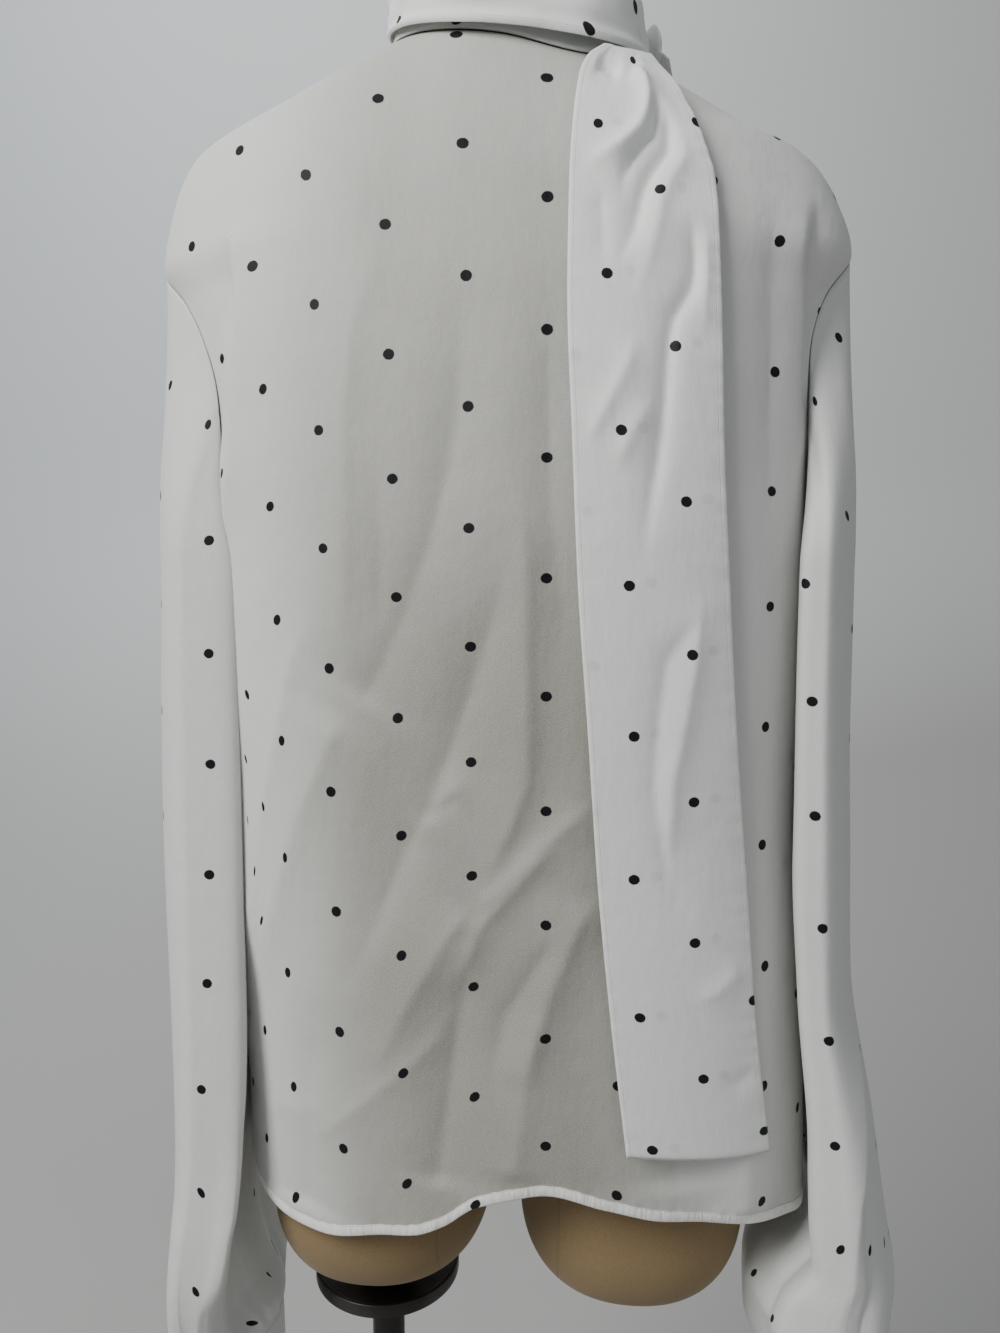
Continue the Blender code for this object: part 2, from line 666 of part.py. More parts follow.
def cuff_lattice(table, side):
    """Rows of a plain cuff, from its lower edge up to the sleeve seam."""
    centre = side * (table[0].inner + table[0].outer) / 2
    rows = []
    for rise in (0.0, 0.5, 1.0):
        height = CUFF_TOP - SEAM_GAP - CUFF_DEPTH * (1 - rise)
        flare = CUFF_FLARE * (1 - rise)
        ring = []
        for column in range(SLEEVE_COLUMNS):
            turn = 2 * math.pi * column / SLEEVE_COLUMNS
            x, y = oval(turn, CUFF_HALF_WIDTH + flare, CUFF_HALF_LENGTH + flare, 2.0)
            ring.append(np.array([centre + x, y + CUFF_FORWARD, height]))
        rows.append(ring)
    return rows


# ---------------------------------------------------------------- collar and tie


def band_lattice():
    """The sewn collar band: a short tube standing on the neck seam."""
    rows = []
    for rise in BAND_RISES:
        ring = []
        for column in range(BAND_COLUMNS):
            angle = 2 * math.pi * column / BAND_COLUMNS
            foot = body_point(angle, neck_height(angle))
            foot[2] += BAND_SEAM_RISE
            x, y = oval(angle, BAND_TOP_HALF_WIDTH, BAND_TOP_HALF_LENGTH, 2.0)
            inward = math.sin(math.pi / 2 * rise)
            ring.append(foot + (np.array([x, y, BAND_TOP]) - foot) * np.array([inward, inward, rise]))
        rows.append(ring)
    return rows


def wrap_lattice():
    """The turn of the tie round the collar, its lower edge just above the shoulder cloth."""
    high = BAND_TOP + WRAP_TOP_ABOVE_BAND
    rows = []
    for row in range(WRAP_ROWS + 1):
        rise = row / WRAP_ROWS
        ring = []
        for column in range(WRAP_COLUMNS):
            angle = 2 * math.pi * column / WRAP_COLUMNS
            bearing = math.degrees(angle)
            low = ease(WRAP, "low", bearing)
            radius = ease(WRAP, "radius", bearing) - ease(WRAP, "lean", bearing) * rise
            radius += WRAP_SWELL * math.sin(math.pi * rise)
            place = [radius * math.cos(angle), radius * math.sin(angle), low + (high - low) * rise]
            ring.append(np.array(place))
        rows.append(ring)
    return rows


def tail_lattice(table, side, rows):
    """A hanging end of the tie, lying off its panel: rows from its end up to its top."""
    heights = sorted(row.height for row in table)
    places = np.linspace(0, len(heights) - 1, rows + 1)
    lattice = []
    for height in np.interp(places, range(len(heights)), heights):
        left = ease(table, "left", height)
        right = ease(table, "right", height)
        lift = ease(table, "lift", height) + TIE_THICKNESS
        ripple = ease(table, "ripple", height)
        slant = ease(table, "slant", height)
        ring = []
        for column in range(TAIL_COLUMNS + 1):
            across = column / TAIL_COLUMNS
            wave = ripple * math.sin(3 * math.pi * across) * math.sin(math.pi * across)
            x = left + (right - left) * across
            ring.append(stand_off(x, height - slant * across, side, lift + wave))
        lattice.append(ring if side > 0 else list(reversed(ring)))
    return lattice


def add_knot(material, collection):
    """The flat lobe of cloth that bears on the wrap where the tie's two ends cross."""
    bpy.ops.mesh.primitive_uv_sphere_add(segments=16, ring_count=8, radius=1.0)
    knot = bpy.context.object
    knot.name = "tie_knot"
    knot.data.name = "tie_knot"
    knot.data.materials.clear()
    knot.data.materials.append(material)
    for vertex in knot.data.vertices:
        bearing = KNOT_BEARING + KNOT_HALF_SPREAD * vertex.co.y
        rise = KNOT_HALF_HEIGHT * vertex.co.z
        radius = ease(WRAP, "radius", bearing) + KNOT_GAP + KNOT_HALF_DEPTH * (1 + vertex.co.x)
        radius -= KNOT_LEAN * max(0.0, rise)
        vertex.co.x = radius * math.cos(math.radians(bearing))
        vertex.co.y = radius * math.sin(math.radians(bearing))
        vertex.co.z = KNOT_HEIGHT + rise
    knot.data.shade_smooth()
    for owner in list(knot.users_collection):
        owner.objects.unlink(knot)
    collection.objects.link(knot)
    return knot


# ---------------------------------------------------------------- dress form and stand


def form_ring(height):
    """A ring of the form's trunk."""
    half_width = ease(FORM_SECTIONS, "half_width", height)
    squareness = ease(FORM_SECTIONS, "squareness", height)
    ring = []
    for column in range(FORM_COLUMNS):
        angle = 2 * math.pi * column / FORM_COLUMNS
        depth = ease(FORM_SECTIONS, "back" if math.sin(angle) >= 0 else "front", height)
        x, y = oval(angle, half_width, depth, squareness)
        ring.append((x, y, height))
    return ring


def stump_ring(side, drop):
    """A ring of a thigh stump; drop runs from 0 at the stump's top to 1 at its rounded end."""
    height = STUMP_TOP + (STUMP_BOTTOM - STUMP_TOP) * drop
    above = (height - STUMP_BOTTOM) / STUMP_ROUNDING
    rounding = 1.0 if above >= 1 else math.sqrt(max(0.0, 1 - (1 - above) ** 2))
    swell = STUMP_END_SHARE + (1 - STUMP_END_SHARE) * rounding
    inset = STUMP_TOP_INSET * smoothstep((height - STUMP_INSET_START) / (STUMP_TOP - STUMP_INSET_START))
    half_width = (STUMP_HALF_WIDTH - inset) * swell
    half_length = (STUMP_HALF_LENGTH - inset) * swell
    ring = []
    for column in range(STUMP_COLUMNS):
        angle = 2 * math.pi * column / STUMP_COLUMNS
        x, y = oval(angle, half_width, half_length, STUMP_SQUARENESS)
        ring.append((side * STUMP_SPACING + x, y, height))
    return ring


def add_form(material, collection, helpers):
    """The trunk with its neck, joined to two rounded thigh stumps, with a socket for the pole."""
    rings = [form_ring(section.height) for section in FORM_SECTIONS]
    trunk = add_solid_loft("form_torso", rings, material, collection)
    for side, name in ((1, "left"), (-1, "right")):
        rings = [stump_ring(side, drop) for drop in STUMP_DROPS]
        stump = add_solid_loft(f"{name}_stump_shape", rings, material, helpers)
        mark_cutter(stump, helpers)
        apply_boolean(trunk, stump, "UNION")
    bpy.ops.mesh.primitive_cylinder_add(
        vertices=POLE_COLUMNS,
        radius=POLE_RADIUS + POLE_CLEARANCE,
        depth=2 * POLE_SOCKET_DEPTH,
        location=(POLE_X, 0.0, STUMP_BOTTOM),
    )
    socket = bpy.context.object
    socket.name = "pole_socket_cut"
    mark_cutter(socket, helpers)
    apply_boolean(trunk, socket, "DIFFERENCE")
    return trunk


def add_stand(material, collection):
    """The flange under the stump, the pole and the weighted round base with its hub."""
    bore = POLE_RADIUS + POLE_CLEARANCE
    top = STUMP_BOTTOM - SEAM_GAP
    dish = FLANGE_DISH_HEIGHT
    flange = [
        (FLANGE_HUB_RADIUS, top),
        (FLANGE_HUB_RADIUS, dish),
        (FLANGE_RADIUS - FLANGE_THICKNESS, dish),
        (FLANGE_RADIUS - FLANGE_THICKNESS, dish + FLANGE_RIM_RISE),
        (FLANGE_RADIUS, dish + FLANGE_RIM_RISE),
        (FLANGE_RADIUS, dish - FLANGE_THICKNESS),
        (FLANGE_HUB_RADIUS, dish - FLANGE_THICKNESS),
        (FLANGE_HUB_RADIUS, dish - FLANGE_HUB_DROP),
        (bore, dish - FLANGE_HUB_DROP),
        (bore, top),
    ]
    add_turned("stand_flange", flange, (POLE_X, 0, 0), FLANGE_COLUMNS, material, collection)
    base = [
        (BASE_HUB_RADIUS - BASE_BEVEL, BASE_HUB_HEIGHT),
        (BASE_HUB_RADIUS, BASE_HUB_HEIGHT - BASE_BEVEL),
        (BASE_HUB_RADIUS, BASE_THICKNESS),
        (BASE_RADIUS - BASE_BEVEL, BASE_THICKNESS),
        (BASE_RADIUS, BASE_THICKNESS - BASE_BEVEL),
        (BASE_RADIUS, 0.0),
        (0.0, 0.0),
        (0.0, BASE_THICKNESS / 2),
        (bore, BASE_THICKNESS / 2),
        (bore, BASE_HUB_HEIGHT),
    ]
    add_turned("stand_base", base, (POLE_X, 0, 0), BASE_COLUMNS, material, collection)
    bottom = BASE_THICKNESS / 2 + SEAM_GAP
    pole_top = STUMP_BOTTOM + POLE_SOCKET_DEPTH - POLE_TOP_GAP
    bpy.ops.mesh.primitive_cylinder_add(
        vertices=POLE_COLUMNS,
        radius=POLE_RADIUS,
        depth=pole_top - bottom,
        location=(POLE_X, 0.0, (pole_top + bottom) / 2),
    )
    pole = bpy.context.object
    pole.name = "stand_pole"
    pole.data.name = "stand_pole"
    pole.data.materials.append(material)
    for owner in list(pole.users_collection):
        owner.objects.unlink(pole)
    collection.objects.link(pole)


# ---------------------------------------------------------------- assembly


def build():
    clear_scene()
    garment = new_collection("tie_neck_blouse_on_form")
    helpers = new_collection("cutters")
    print_cloth = make_material("dotted_crepe", (0.80, 0.80, 0.78), 0.55)
    form_cover = make_material("tan_form_cover", (0.32, 0.24, 0.14), 0.75)
    stand_metal = make_material("black_metal", (0.02, 0.02, 0.02), 0.35, 0.6)

    add_cloth("back_panel", panel_lattice(1, BACK_COLUMNS, BACK_FOLDS), False, print_cloth, garment)
    add_cloth("front_panel", panel_lattice(-1, FRONT_COLUMNS, FRONT_FOLDS), False, print_cloth, garment)
    for name, table, side in (("left", LEFT_SLEEVE, 1), ("right", RIGHT_SLEEVE, -1)):
        add_cloth(f"{name}_sleeve", sleeve_lattice(table, side), True, print_cloth, garment)
        add_cloth(f"{name}_cuff", cuff_lattice(table, side), True, print_cloth, garment)
    add_cloth("neck_band", band_lattice(), True, print_cloth, garment)
    add_cloth("neck_wrap", wrap_lattice(), True, print_cloth, garment, TIE_THICKNESS)
    back_tail = tail_lattice(BACK_TAIL, 1, BACK_TAIL_ROWS)
    front_tail = tail_lattice(FRONT_TAIL, -1, FRONT_TAIL_ROWS)
    add_cloth("tie_back_tail", back_tail, False, print_cloth, garment, TIE_THICKNESS)
    add_cloth("tie_front_tail", front_tail, False, print_cloth, garment, TIE_THICKNESS)
    add_knot(print_cloth, garment)
    add_form(form_cover, garment, helpers)
    add_stand(stand_metal, garment)


if __name__ == "__main__":
    build()
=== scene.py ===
"""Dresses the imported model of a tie-neck blouse on its dress form in cloth, cover and metal.

Metres, +Z up. The blouse's back faces +Y and the wearer's left is +X. The origin is on the floor under the
middle of the form. The tables of the body, its edges, the form and the tie's turn repeat the part's own.
Those of the sleeves and of the tie's ends were refined later, so their cloth stands off its solids in
places.
"""

import math
from collections import namedtuple

import bmesh
import bpy
import numpy as np
from bpy.props import FloatProperty, FloatVectorProperty, PointerProperty
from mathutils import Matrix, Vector


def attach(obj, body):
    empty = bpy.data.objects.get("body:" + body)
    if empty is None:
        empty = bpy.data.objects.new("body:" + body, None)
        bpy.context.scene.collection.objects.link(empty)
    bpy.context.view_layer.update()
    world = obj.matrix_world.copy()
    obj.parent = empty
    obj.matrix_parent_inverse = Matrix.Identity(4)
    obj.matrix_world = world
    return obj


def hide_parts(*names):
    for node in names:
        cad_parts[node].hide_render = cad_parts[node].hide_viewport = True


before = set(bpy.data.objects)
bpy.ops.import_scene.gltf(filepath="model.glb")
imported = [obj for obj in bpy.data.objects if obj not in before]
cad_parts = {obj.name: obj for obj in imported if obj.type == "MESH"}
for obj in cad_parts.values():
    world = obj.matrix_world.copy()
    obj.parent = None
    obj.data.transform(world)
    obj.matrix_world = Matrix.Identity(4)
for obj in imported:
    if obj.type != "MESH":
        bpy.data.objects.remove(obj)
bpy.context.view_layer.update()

bl_info = {
    "name": "Tie-neck blouse",
    "version": (1, 0, 0),
    "blender": (4, 5, 0),
    "location": "View3D > Sidebar > Blouse",
    "description": "Builds the cloth, tie, dress form and stand of a dotted tie-neck blouse",
    "category": "Object",
}

BODY = "root"


def rows_of(kind, values):
    """A table whose rows have named columns."""
    return [kind(*row) for row in values]


# ---------------------------------------------------------------- sizes shared with the part

SEAM_GAP = 0.0003
SLEEVE_CLEARANCE = 0.0022
NECK_SIDE_HEIGHT = 1.412
ARMHOLE_TOP = 1.286
ARMHOLE_BOTTOM = 1.115
ARMHOLE_MIDDLE = (ARMHOLE_TOP + ARMHOLE_BOTTOM) / 2
ARMHOLE_HALF = (ARMHOLE_TOP - ARMHOLE_BOTTOM) / 2
ARMHOLE_BACK_REACH_LEFT = 0.070
ARMHOLE_BACK_REACH_RIGHT = 0.046
ARMHOLE_FRONT_REACH = 0.064
SLEEVE_CAP_SWING = 1.3
SLEEVE_SEAM_OUTWARD = 0.8
CUFF_TOP = 0.580
CUFF_DEPTH = 0.048
CUFF_HALF_WIDTH = 0.031
CUFF_HALF_LENGTH = 0.042
CUFF_FORWARD = 0.012
CUFF_FLARE = 0.0008
BAND_SEAM_RISE = 0.0014
BAND_TOP = 1.452
BAND_TOP_HALF_WIDTH = 0.0635
BAND_TOP_HALF_LENGTH = 0.0600
WRAP_TOP_ABOVE_BAND = 0.006
WRAP_SWELL = 0.0015
KNOT_BEARING = 197
KNOT_HALF_SPREAD = 12
KNOT_HALF_HEIGHT = 0.015
KNOT_HALF_DEPTH = 0.0030
KNOT_HEIGHT = 1.424
KNOT_LEAN = 0.15
KNOT_GAP = 0.0012
TIE_THICKNESS = 0.0015
STUMP_SPACING = 0.0843
STUMP_HALF_WIDTH = 0.0740
STUMP_HALF_LENGTH = 0.080
STUMP_BOTTOM = 0.640
STUMP_TOP = 0.790
STUMP_ROUNDING = 0.045
STUMP_END_SHARE = 0.62
STUMP_SQUARENESS = 2.2
STUMP_TOP_INSET = 0.004
STUMP_INSET_START = 0.700
POLE_X = 0.0843
POLE_RADIUS = 0.0112
POLE_TOP = 0.6988
FLANGE_RADIUS = 0.050
FLANGE_DISH_HEIGHT = 0.614
FLANGE_RIM_RISE = 0.006
FLANGE_THICKNESS = 0.003
FLANGE_HUB_RADIUS = 0.019
FLANGE_HUB_DROP = 0.012
BASE_RADIUS = 0.168
BASE_THICKNESS = 0.008
BASE_HUB_RADIUS = 0.022
BASE_HUB_HEIGHT = 0.045

BodySection = namedtuple("BodySection", "height half_width back front sway roll squareness")
BODY_SECTIONS = rows_of(BodySection, [
    (0.690, 0.185, 0.100, 0.132, -0.012, 0.0, 2.5),
    (0.780, 0.183, 0.106, 0.136, -0.011, 0.0, 2.5),
    (0.860, 0.180, 0.110, 0.139, -0.009, 0.0, 2.5),
    (0.960, 0.178, 0.114, 0.142, -0.005, 0.0, 2.5),
    (1.030, 0.180, 0.117, 0.145, -0.005, 0.0, 2.5),
    (1.115, 0.181, 0.119, 0.148, -0.005, 0.0, 2.5),
    (1.160, 0.183, 0.118, 0.148, -0.003, 0.0, 2.5),
    (1.207, 0.186, 0.116, 0.143, 0.000, 0.0, 2.5),
    (1.236, 0.191, 0.113, 0.137, 0.003, 0.0, 2.45),
    (1.260, 0.199, 0.110, 0.130, 0.004, 0.0, 2.35),
    (1.286, 0.2115, 0.105, 0.121, 0.004, 0.0, 2.25),
    (1.318, 0.204, 0.098, 0.110, 0.005, 0.015, 2.15),
    (1.336, 0.196, 0.092, 0.102, 0.006, 0.025, 2.1),
    (1.348, 0.186, 0.087, 0.095, 0.007, 0.03, 2.1),
    (1.362, 0.160, 0.081, 0.086, 0.007, 0.04, 2.05),
    (1.378, 0.131, 0.074, 0.076, 0.006, 0.04, 2.0),
    (1.394, 0.100, 0.067, 0.064, 0.004, 0.04, 2.0),
    (1.412, 0.065, 0.050, 0.046, 0.001, 0.04, 2.0),
])

# Edges that run round the body: a bearing of 0 is the wearer's left side, 90 the back, 180 the right side.
EdgePoint = namedtuple("EdgePoint", "bearing height")
NECK = rows_of(EdgePoint, [
    (0, NECK_SIDE_HEIGHT), (50, 1.405), (80, 1.399), (95, 1.395), (118, 1.386), (135, 1.390),
    (150, 1.397), (180, 1.405), (225, 1.397), (270, 1.388), (315, 1.400), (360, NECK_SIDE_HEIGHT),
])
HEM = rows_of(EdgePoint, [
    (0, 0.712), (16, 0.709), (32, 0.702), (50, 0.696), (64, 0.700), (77, 0.708), (82, 0.716), (87, 0.731),
    (95, 0.740), (103, 0.733), (114, 0.7245), (133, 0.716), (151, 0.708), (166, 0.701), (180, 0.704),
    (215, 0.700), (245, 0.708), (270, 0.722), (300, 0.708), (330, 0.703), (360, 0.712),
])

# A sleeve's sections. inner and outer are distances from the middle plane, back and front are reaches from
# it, bend curls the section round the body's side, and ruffle is the height of the big waves above the cuff.
SleeveSection = namedtuple("SleeveSection", "height inner outer back front bend ruffle")
LEFT_SLEEVE = rows_of(SleeveSection, [
    (0.580, 0.1600, 0.2220, 0.054, 0.030, 0.0, 0.0),
    (0.592, 0.1600, 0.2200, 0.072, 0.048, 0.0, 0.0020),
    (0.615, 0.1740, 0.2185, 0.090, 0.068, 0.2, 0.0030),
    (0.650, 0.1800, 0.2180, 0.094, 0.074, 0.6, 0.0024),
    (0.686, 0.1805, 0.2185, 0.092, 0.078, 1.2, 0.0012),
    (0.704, 0.1800, 0.2190, 0.090, 0.079, 1.6, 0.0008),
    (0.740, 0.1800, 0.2205, 0.087, 0.080, 2.1, 0.0004),
    (0.820, 0.1790, 0.2232, 0.084, 0.081, 2.5, 0.0),
    (0.920, 0.1795, 0.2248, 0.081, 0.082, 2.6, 0.0),
    (1.020, 0.1790, 0.2232, 0.079, 0.082, 2.6, 0.0),
    (1.100, 0.1790, 0.2210, 0.078, 0.082, 2.7, 0.0),
])
RIGHT_SLEEVE = rows_of(SleeveSection, [
    (0.580, 0.1740, 0.2360, 0.054, 0.030, 0.0, 0.0),
    (0.592, 0.1700, 0.2375, 0.074, 0.050, 0.0, 0.0020),
    (0.618, 0.1620, 0.2430, 0.094, 0.072, 0.3, 0.0030),
    (0.646, 0.1600, 0.2515, 0.101, 0.079, 0.8, 0.0024),
    (0.672, 0.1740, 0.2490, 0.099, 0.081, 1.4, 0.0014),
    (0.698, 0.2010, 0.2445, 0.098, 0.082, 2.2, 0.0006),
    (0.765, 0.2010, 0.2350, 0.096, 0.085, 2.4, 0.0002),
    (0.860, 0.1940, 0.2190, 0.092, 0.087, 2.6, 0.0),
    (0.940, 0.1890, 0.2160, 0.091, 0.087, 2.6, 0.0),
    (1.020, 0.1890, 0.2130, 0.090, 0.088, 2.6, 0.0),
    (1.100, 0.1890, 0.2120, 0.088, 0.088, 2.6, 0.0),
])

# The turn of the tie round the collar: its radius, the height of its lower edge, and its lean in at the top.
WrapStation = namedtuple("WrapStation", "bearing radius low lean")
WRAP = rows_of(WrapStation, [
    (0, 0.0712, 1.4245, 0.002),
    (40, 0.0730, 1.4110, 0.003),
    (75, 0.0735, 1.4000, 0.003),
    (90, 0.0740, 1.3970, 0.003),
    (110, 0.0785, 1.3930, 0.004),
    (130, 0.0885, 1.3890, 0.012),
    (150, 0.0915, 1.3910, 0.017),
    (165, 0.0905, 1.3950, 0.017),
    (180, 0.0895, 1.4010, 0.017),
    (200, 0.0890, 1.4080, 0.015),
    (225, 0.0870, 1.4050, 0.009),
    (270, 0.0800, 1.3960, 0.006),
    (320, 0.0820, 1.4060, 0.008),
    (342, 0.0750, 1.4160, 0.005),
    (360, 0.0712, 1.4245, 0.002),
])

# Rows down a hanging end of the tie: the x of its two edges, how far it stands off the panel under it, and
# how much lower its right edge is than its left one.
TailRow = namedtuple("TailRow", "height left right lift slant")
BACK_TAIL = rows_of(TailRow, [
    (1.3820, -0.0600, -0.0870, 0.0060, 0.002),
    (1.3740, -0.0520, -0.0930, 0.0065, 0.004),
    (1.3600, -0.0475, -0.1010, 0.0065, 0.005),
    (1.3300, -0.0447, -0.1130, 0.0065, 0.004),
    (1.3000, -0.0435, -0.1198, 0.0060, 0.0),
    (1.2500, -0.0433, -0.1228, 0.0060, 0.0),
    (1.1700, -0.0466, -0.1256, 0.0060, 0.0),
    (1.0920, -0.0503, -0.1306, 0.0060, 0.0),
    (1.0120, -0.0562, -0.1369, 0.0060, 0.002),
    (0.9300, -0.0620, -0.1450, 0.0060, 0.004),
    (0.8500, -0.0700, -0.1528, 0.0060, 0.007),
    (0.7710, -0.0795, -0.1640, 0.0065, 0.010),
])
FRONT_TAIL = rows_of(TailRow, [
    (1.3980, -0.0920, -0.0990, 0.0140, 0.004),
    (1.3920, -0.0840, -0.1080, 0.0080, 0.010),
    (1.3780, -0.0720, -0.1180, 0.0065, 0.010),
    (1.3500, -0.0600, -0.1250, 0.0070, 0.004),
    (1.3100, -0.0560, -0.1320, 0.0070, 0.0),
    (1.2500, -0.0520, -0.1340, 0.0070, 0.0),
    (1.1500, -0.0520, -0.1360, 0.0070, 0.0),
    (1.0300, -0.0540, -0.1390, 0.0070, 0.0),
    (0.9100, -0.0570, -0.1430, 0.0070, 0.0),
    (0.8000, -0.0600, -0.1460, 0.0070, 0.0),
])

FormSection = namedtuple("FormSection", "height half_width back front squareness")
FORM_SECTIONS = rows_of(FormSection, [
    (0.742, 0.1560, 0.0830, 0.0830, 2.5),
    (0.775, 0.1590, 0.0900, 0.0860, 2.4),
    (0.820, 0.1600, 0.0960, 0.0880, 2.3),
    (0.880, 0.1520, 0.0930, 0.0880, 2.2),
    (0.950, 0.1330, 0.0830, 0.0850, 2.1),
    (1.010, 0.1220, 0.0780, 0.0830, 2.1),
    (1.070, 0.1290, 0.0830, 0.0950, 2.1),
    (1.130, 0.1430, 0.0930, 0.1150, 2.1),
    (1.180, 0.1540, 0.1000, 0.1280, 2.15),
    (1.230, 0.1650, 0.1010, 0.1160, 2.2),
    (1.275, 0.1760, 0.0960, 0.1010, 2.2),
    (1.310, 0.1800, 0.0890, 0.0900, 2.15),
    (1.335, 0.1720, 0.0820, 0.0820, 2.1),
    (1.352, 0.1520, 0.0750, 0.0730, 2.05),
    (1.368, 0.1240, 0.0670, 0.0630, 2.0),
    (1.384, 0.0920, 0.0590, 0.0560, 2.0),
    (1.400, 0.0680, 0.0540, 0.0520, 2.0),
    (1.416, 0.0580, 0.0520, 0.0510, 2.0),
    (1.440, 0.0555, 0.0515, 0.0510, 2.0),
    (1.462, 0.0550, 0.0510, 0.0510, 2.0),
    (1.467, 0.0525, 0.0485, 0.0485, 2.0),
])

# ---------------------------------------------------------------- creases of the cloth

# A crease follows its path down the cloth. rise is its height, or its depth where it is negative. left and
# right are the widths of its slopes on the path's two sides, left first where x grows to the left. start and
# finish are the shares of its length over which it fades in and out.
Crease = namedtuple("Crease", "path rise left right start finish")
BACK_CREASES = rows_of(Crease, [
    ([(0.1450, 1.300), (0.1445, 1.278), (0.1416, 1.250), (0.1425, 1.223), (0.1442, 1.197), (0.1472, 1.169),
      (0.1540, 1.132), (0.1600, 1.100)], 0.0034, 0.0035, 0.024, 0.10, 0.4),
    ([(0.1510, 1.290), (0.1475, 1.250), (0.1480, 1.223), (0.1500, 1.196)], -0.0036, 0.015, 0.0035, 0.3,
      0.6),
    ([(0.1540, 1.200), (0.1550, 1.150), (0.1570, 1.100), (0.1575, 1.000), (0.1580, 0.900), (0.1600, 0.760)],
      0.0036, 0.014, 0.012, 0.12, 0.15),
    ([(0.046, 1.283), (0.061, 1.263), (0.071, 1.229), (0.076, 1.182), (0.076, 1.129), (0.078, 1.033)],
      0.0022, 0.040, 0.009, 0.3, 0.25),
    ([(0.008, 1.265), (0.012, 1.232), (0.014, 1.190), (0.019, 1.159), (0.029, 1.118), (0.043, 1.080),
      (0.057, 1.050), (0.072, 1.026)], -0.0036, 0.016, 0.017, 0.45, 0.04),
    ([(-0.018, 1.160), (-0.023, 1.107), (-0.023, 1.059), (-0.024, 1.016), (-0.023, 0.986), (-0.015, 0.963),
      (-0.003, 0.937), (0.009, 0.916)], 0.0032, 0.024, 0.007, 0.3, 0.2),
    ([(-0.033, 1.260), (-0.034, 1.190), (-0.035, 1.138), (-0.041, 1.086), (-0.043, 1.030)], -0.0030, 0.014,
      0.022, 0.35, 0.35),
    ([(-0.015, 1.115), (-0.005, 1.075), (0.008, 1.035), (0.019, 1.004), (0.031, 0.973), (0.045, 0.946),
      (0.058, 0.916), (0.074, 0.879), (0.091, 0.845)], -0.0040, 0.022, 0.010, 0.25, 0.3),
    ([(-0.060, 0.977), (-0.030, 0.949), (-0.008, 0.926), (0.009, 0.911)], 0.0022, 0.006, 0.010, 0.2, 0.2),
    ([(-0.0400, 0.955), (-0.0179, 0.929), (0.0020, 0.905), (0.0120, 0.880), (0.0184, 0.860)], 0.0022, 0.006,
      0.007, 0.2, 0.3),
    ([(0.008, 0.993), (0.022, 0.976), (0.040, 0.948)], 0.0016, 0.006, 0.009, 0.3, 0.3),
    ([(-0.061, 0.924), (-0.047, 0.895), (-0.035, 0.862), (-0.026, 0.832), (-0.019, 0.801)], 0.0032, 0.017,
      0.008, 0.15, 0.3),
    ([(0.009, 0.916), (0.026, 0.889), (0.044, 0.858), (0.060, 0.825), (0.070, 0.799)], 0.0026, 0.012, 0.010,
      0.1, 0.4),
    ([(0.009, 0.890), (0.016, 0.848), (0.021, 0.811), (0.027, 0.773), (0.031, 0.740)], -0.0034, 0.013,
      0.014, 0.25, 0.05),
    ([(-0.033, 0.862), (-0.025, 0.826), (-0.019, 0.782), (-0.014, 0.745)], 0.0024, 0.014, 0.012, 0.4, 0.1),
    ([(0.079, 1.024), (0.095, 0.989), (0.110, 0.958), (0.124, 0.919), (0.135, 0.878), (0.144, 0.830)],
      0.0034, 0.022, 0.012, 0.1, 0.35),
    ([(0.0933, 1.087), (0.1126, 1.047), (0.1209, 1.011), (0.136, 0.953), (0.147, 0.887), (0.157, 0.815)],
      0.0026, 0.010, 0.009, 0.2, 0.3),
    ([(0.0140, 0.979), (0.0250, 0.970), (0.0355, 0.963)], -0.0014, 0.004, 0.005, 0.3, 0.2),
    ([(0.0184, 0.866), (0.0279, 0.836), (0.0511, 0.811), (0.0835, 0.781), (0.1216, 0.747)], 0.0016, 0.006,
      0.010, 0.3, 0.3),
    ([(0.0600, 1.160), (0.0560, 1.110), (0.0600, 1.060)], -0.0014, 0.008, 0.010, 0.4, 0.3),
    ([(-0.0420, 0.905), (-0.0280, 0.880), (-0.0100, 0.850), (0.0000, 0.800)], -0.0020, 0.006, 0.010, 0.2,
      0.4),
    ([(-0.152, 1.310), (-0.154, 1.247), (-0.154, 1.180), (-0.155, 1.080)], -0.0034, 0.016, 0.014, 0.25,
      0.5),
    ([(-0.1800, 1.312), (-0.1790, 1.298), (-0.1775, 1.271), (-0.1795, 1.243), (-0.1780, 1.209),
      (-0.1755, 1.175)], -0.0060, 0.003, 0.009, 0.30, 0.4),
    ([(-0.1710, 1.316), (-0.1705, 1.298), (-0.1700, 1.271), (-0.1715, 1.243), (-0.1700, 1.209),
      (-0.1690, 1.170), (-0.1690, 1.110)], 0.0026, 0.016, 0.004, 0.25, 0.4),
    ([(0.125, 1.352), (0.081, 1.311), (0.052, 1.270)], 0.0016, 0.020, 0.016, 0.3, 0.5),
    ([(0.155, 0.768), (0.125, 0.772), (0.090, 0.778)], 0.0012, 0.014, 0.016, 0.5, 0.5),
    ([(-0.090, 1.000), (-0.104, 0.900), (-0.112, 0.740)], -0.0040, 0.024, 0.020, 0.4, 0.05),
    ([(-0.140, 0.960), (-0.146, 0.860), (-0.150, 0.716)], 0.0035, 0.020, 0.020, 0.4, 0.05),
    ([(0.104, 0.860), (0.112, 0.790), (0.116, 0.706)], -0.0030, 0.020, 0.022, 0.4, 0.05),
])
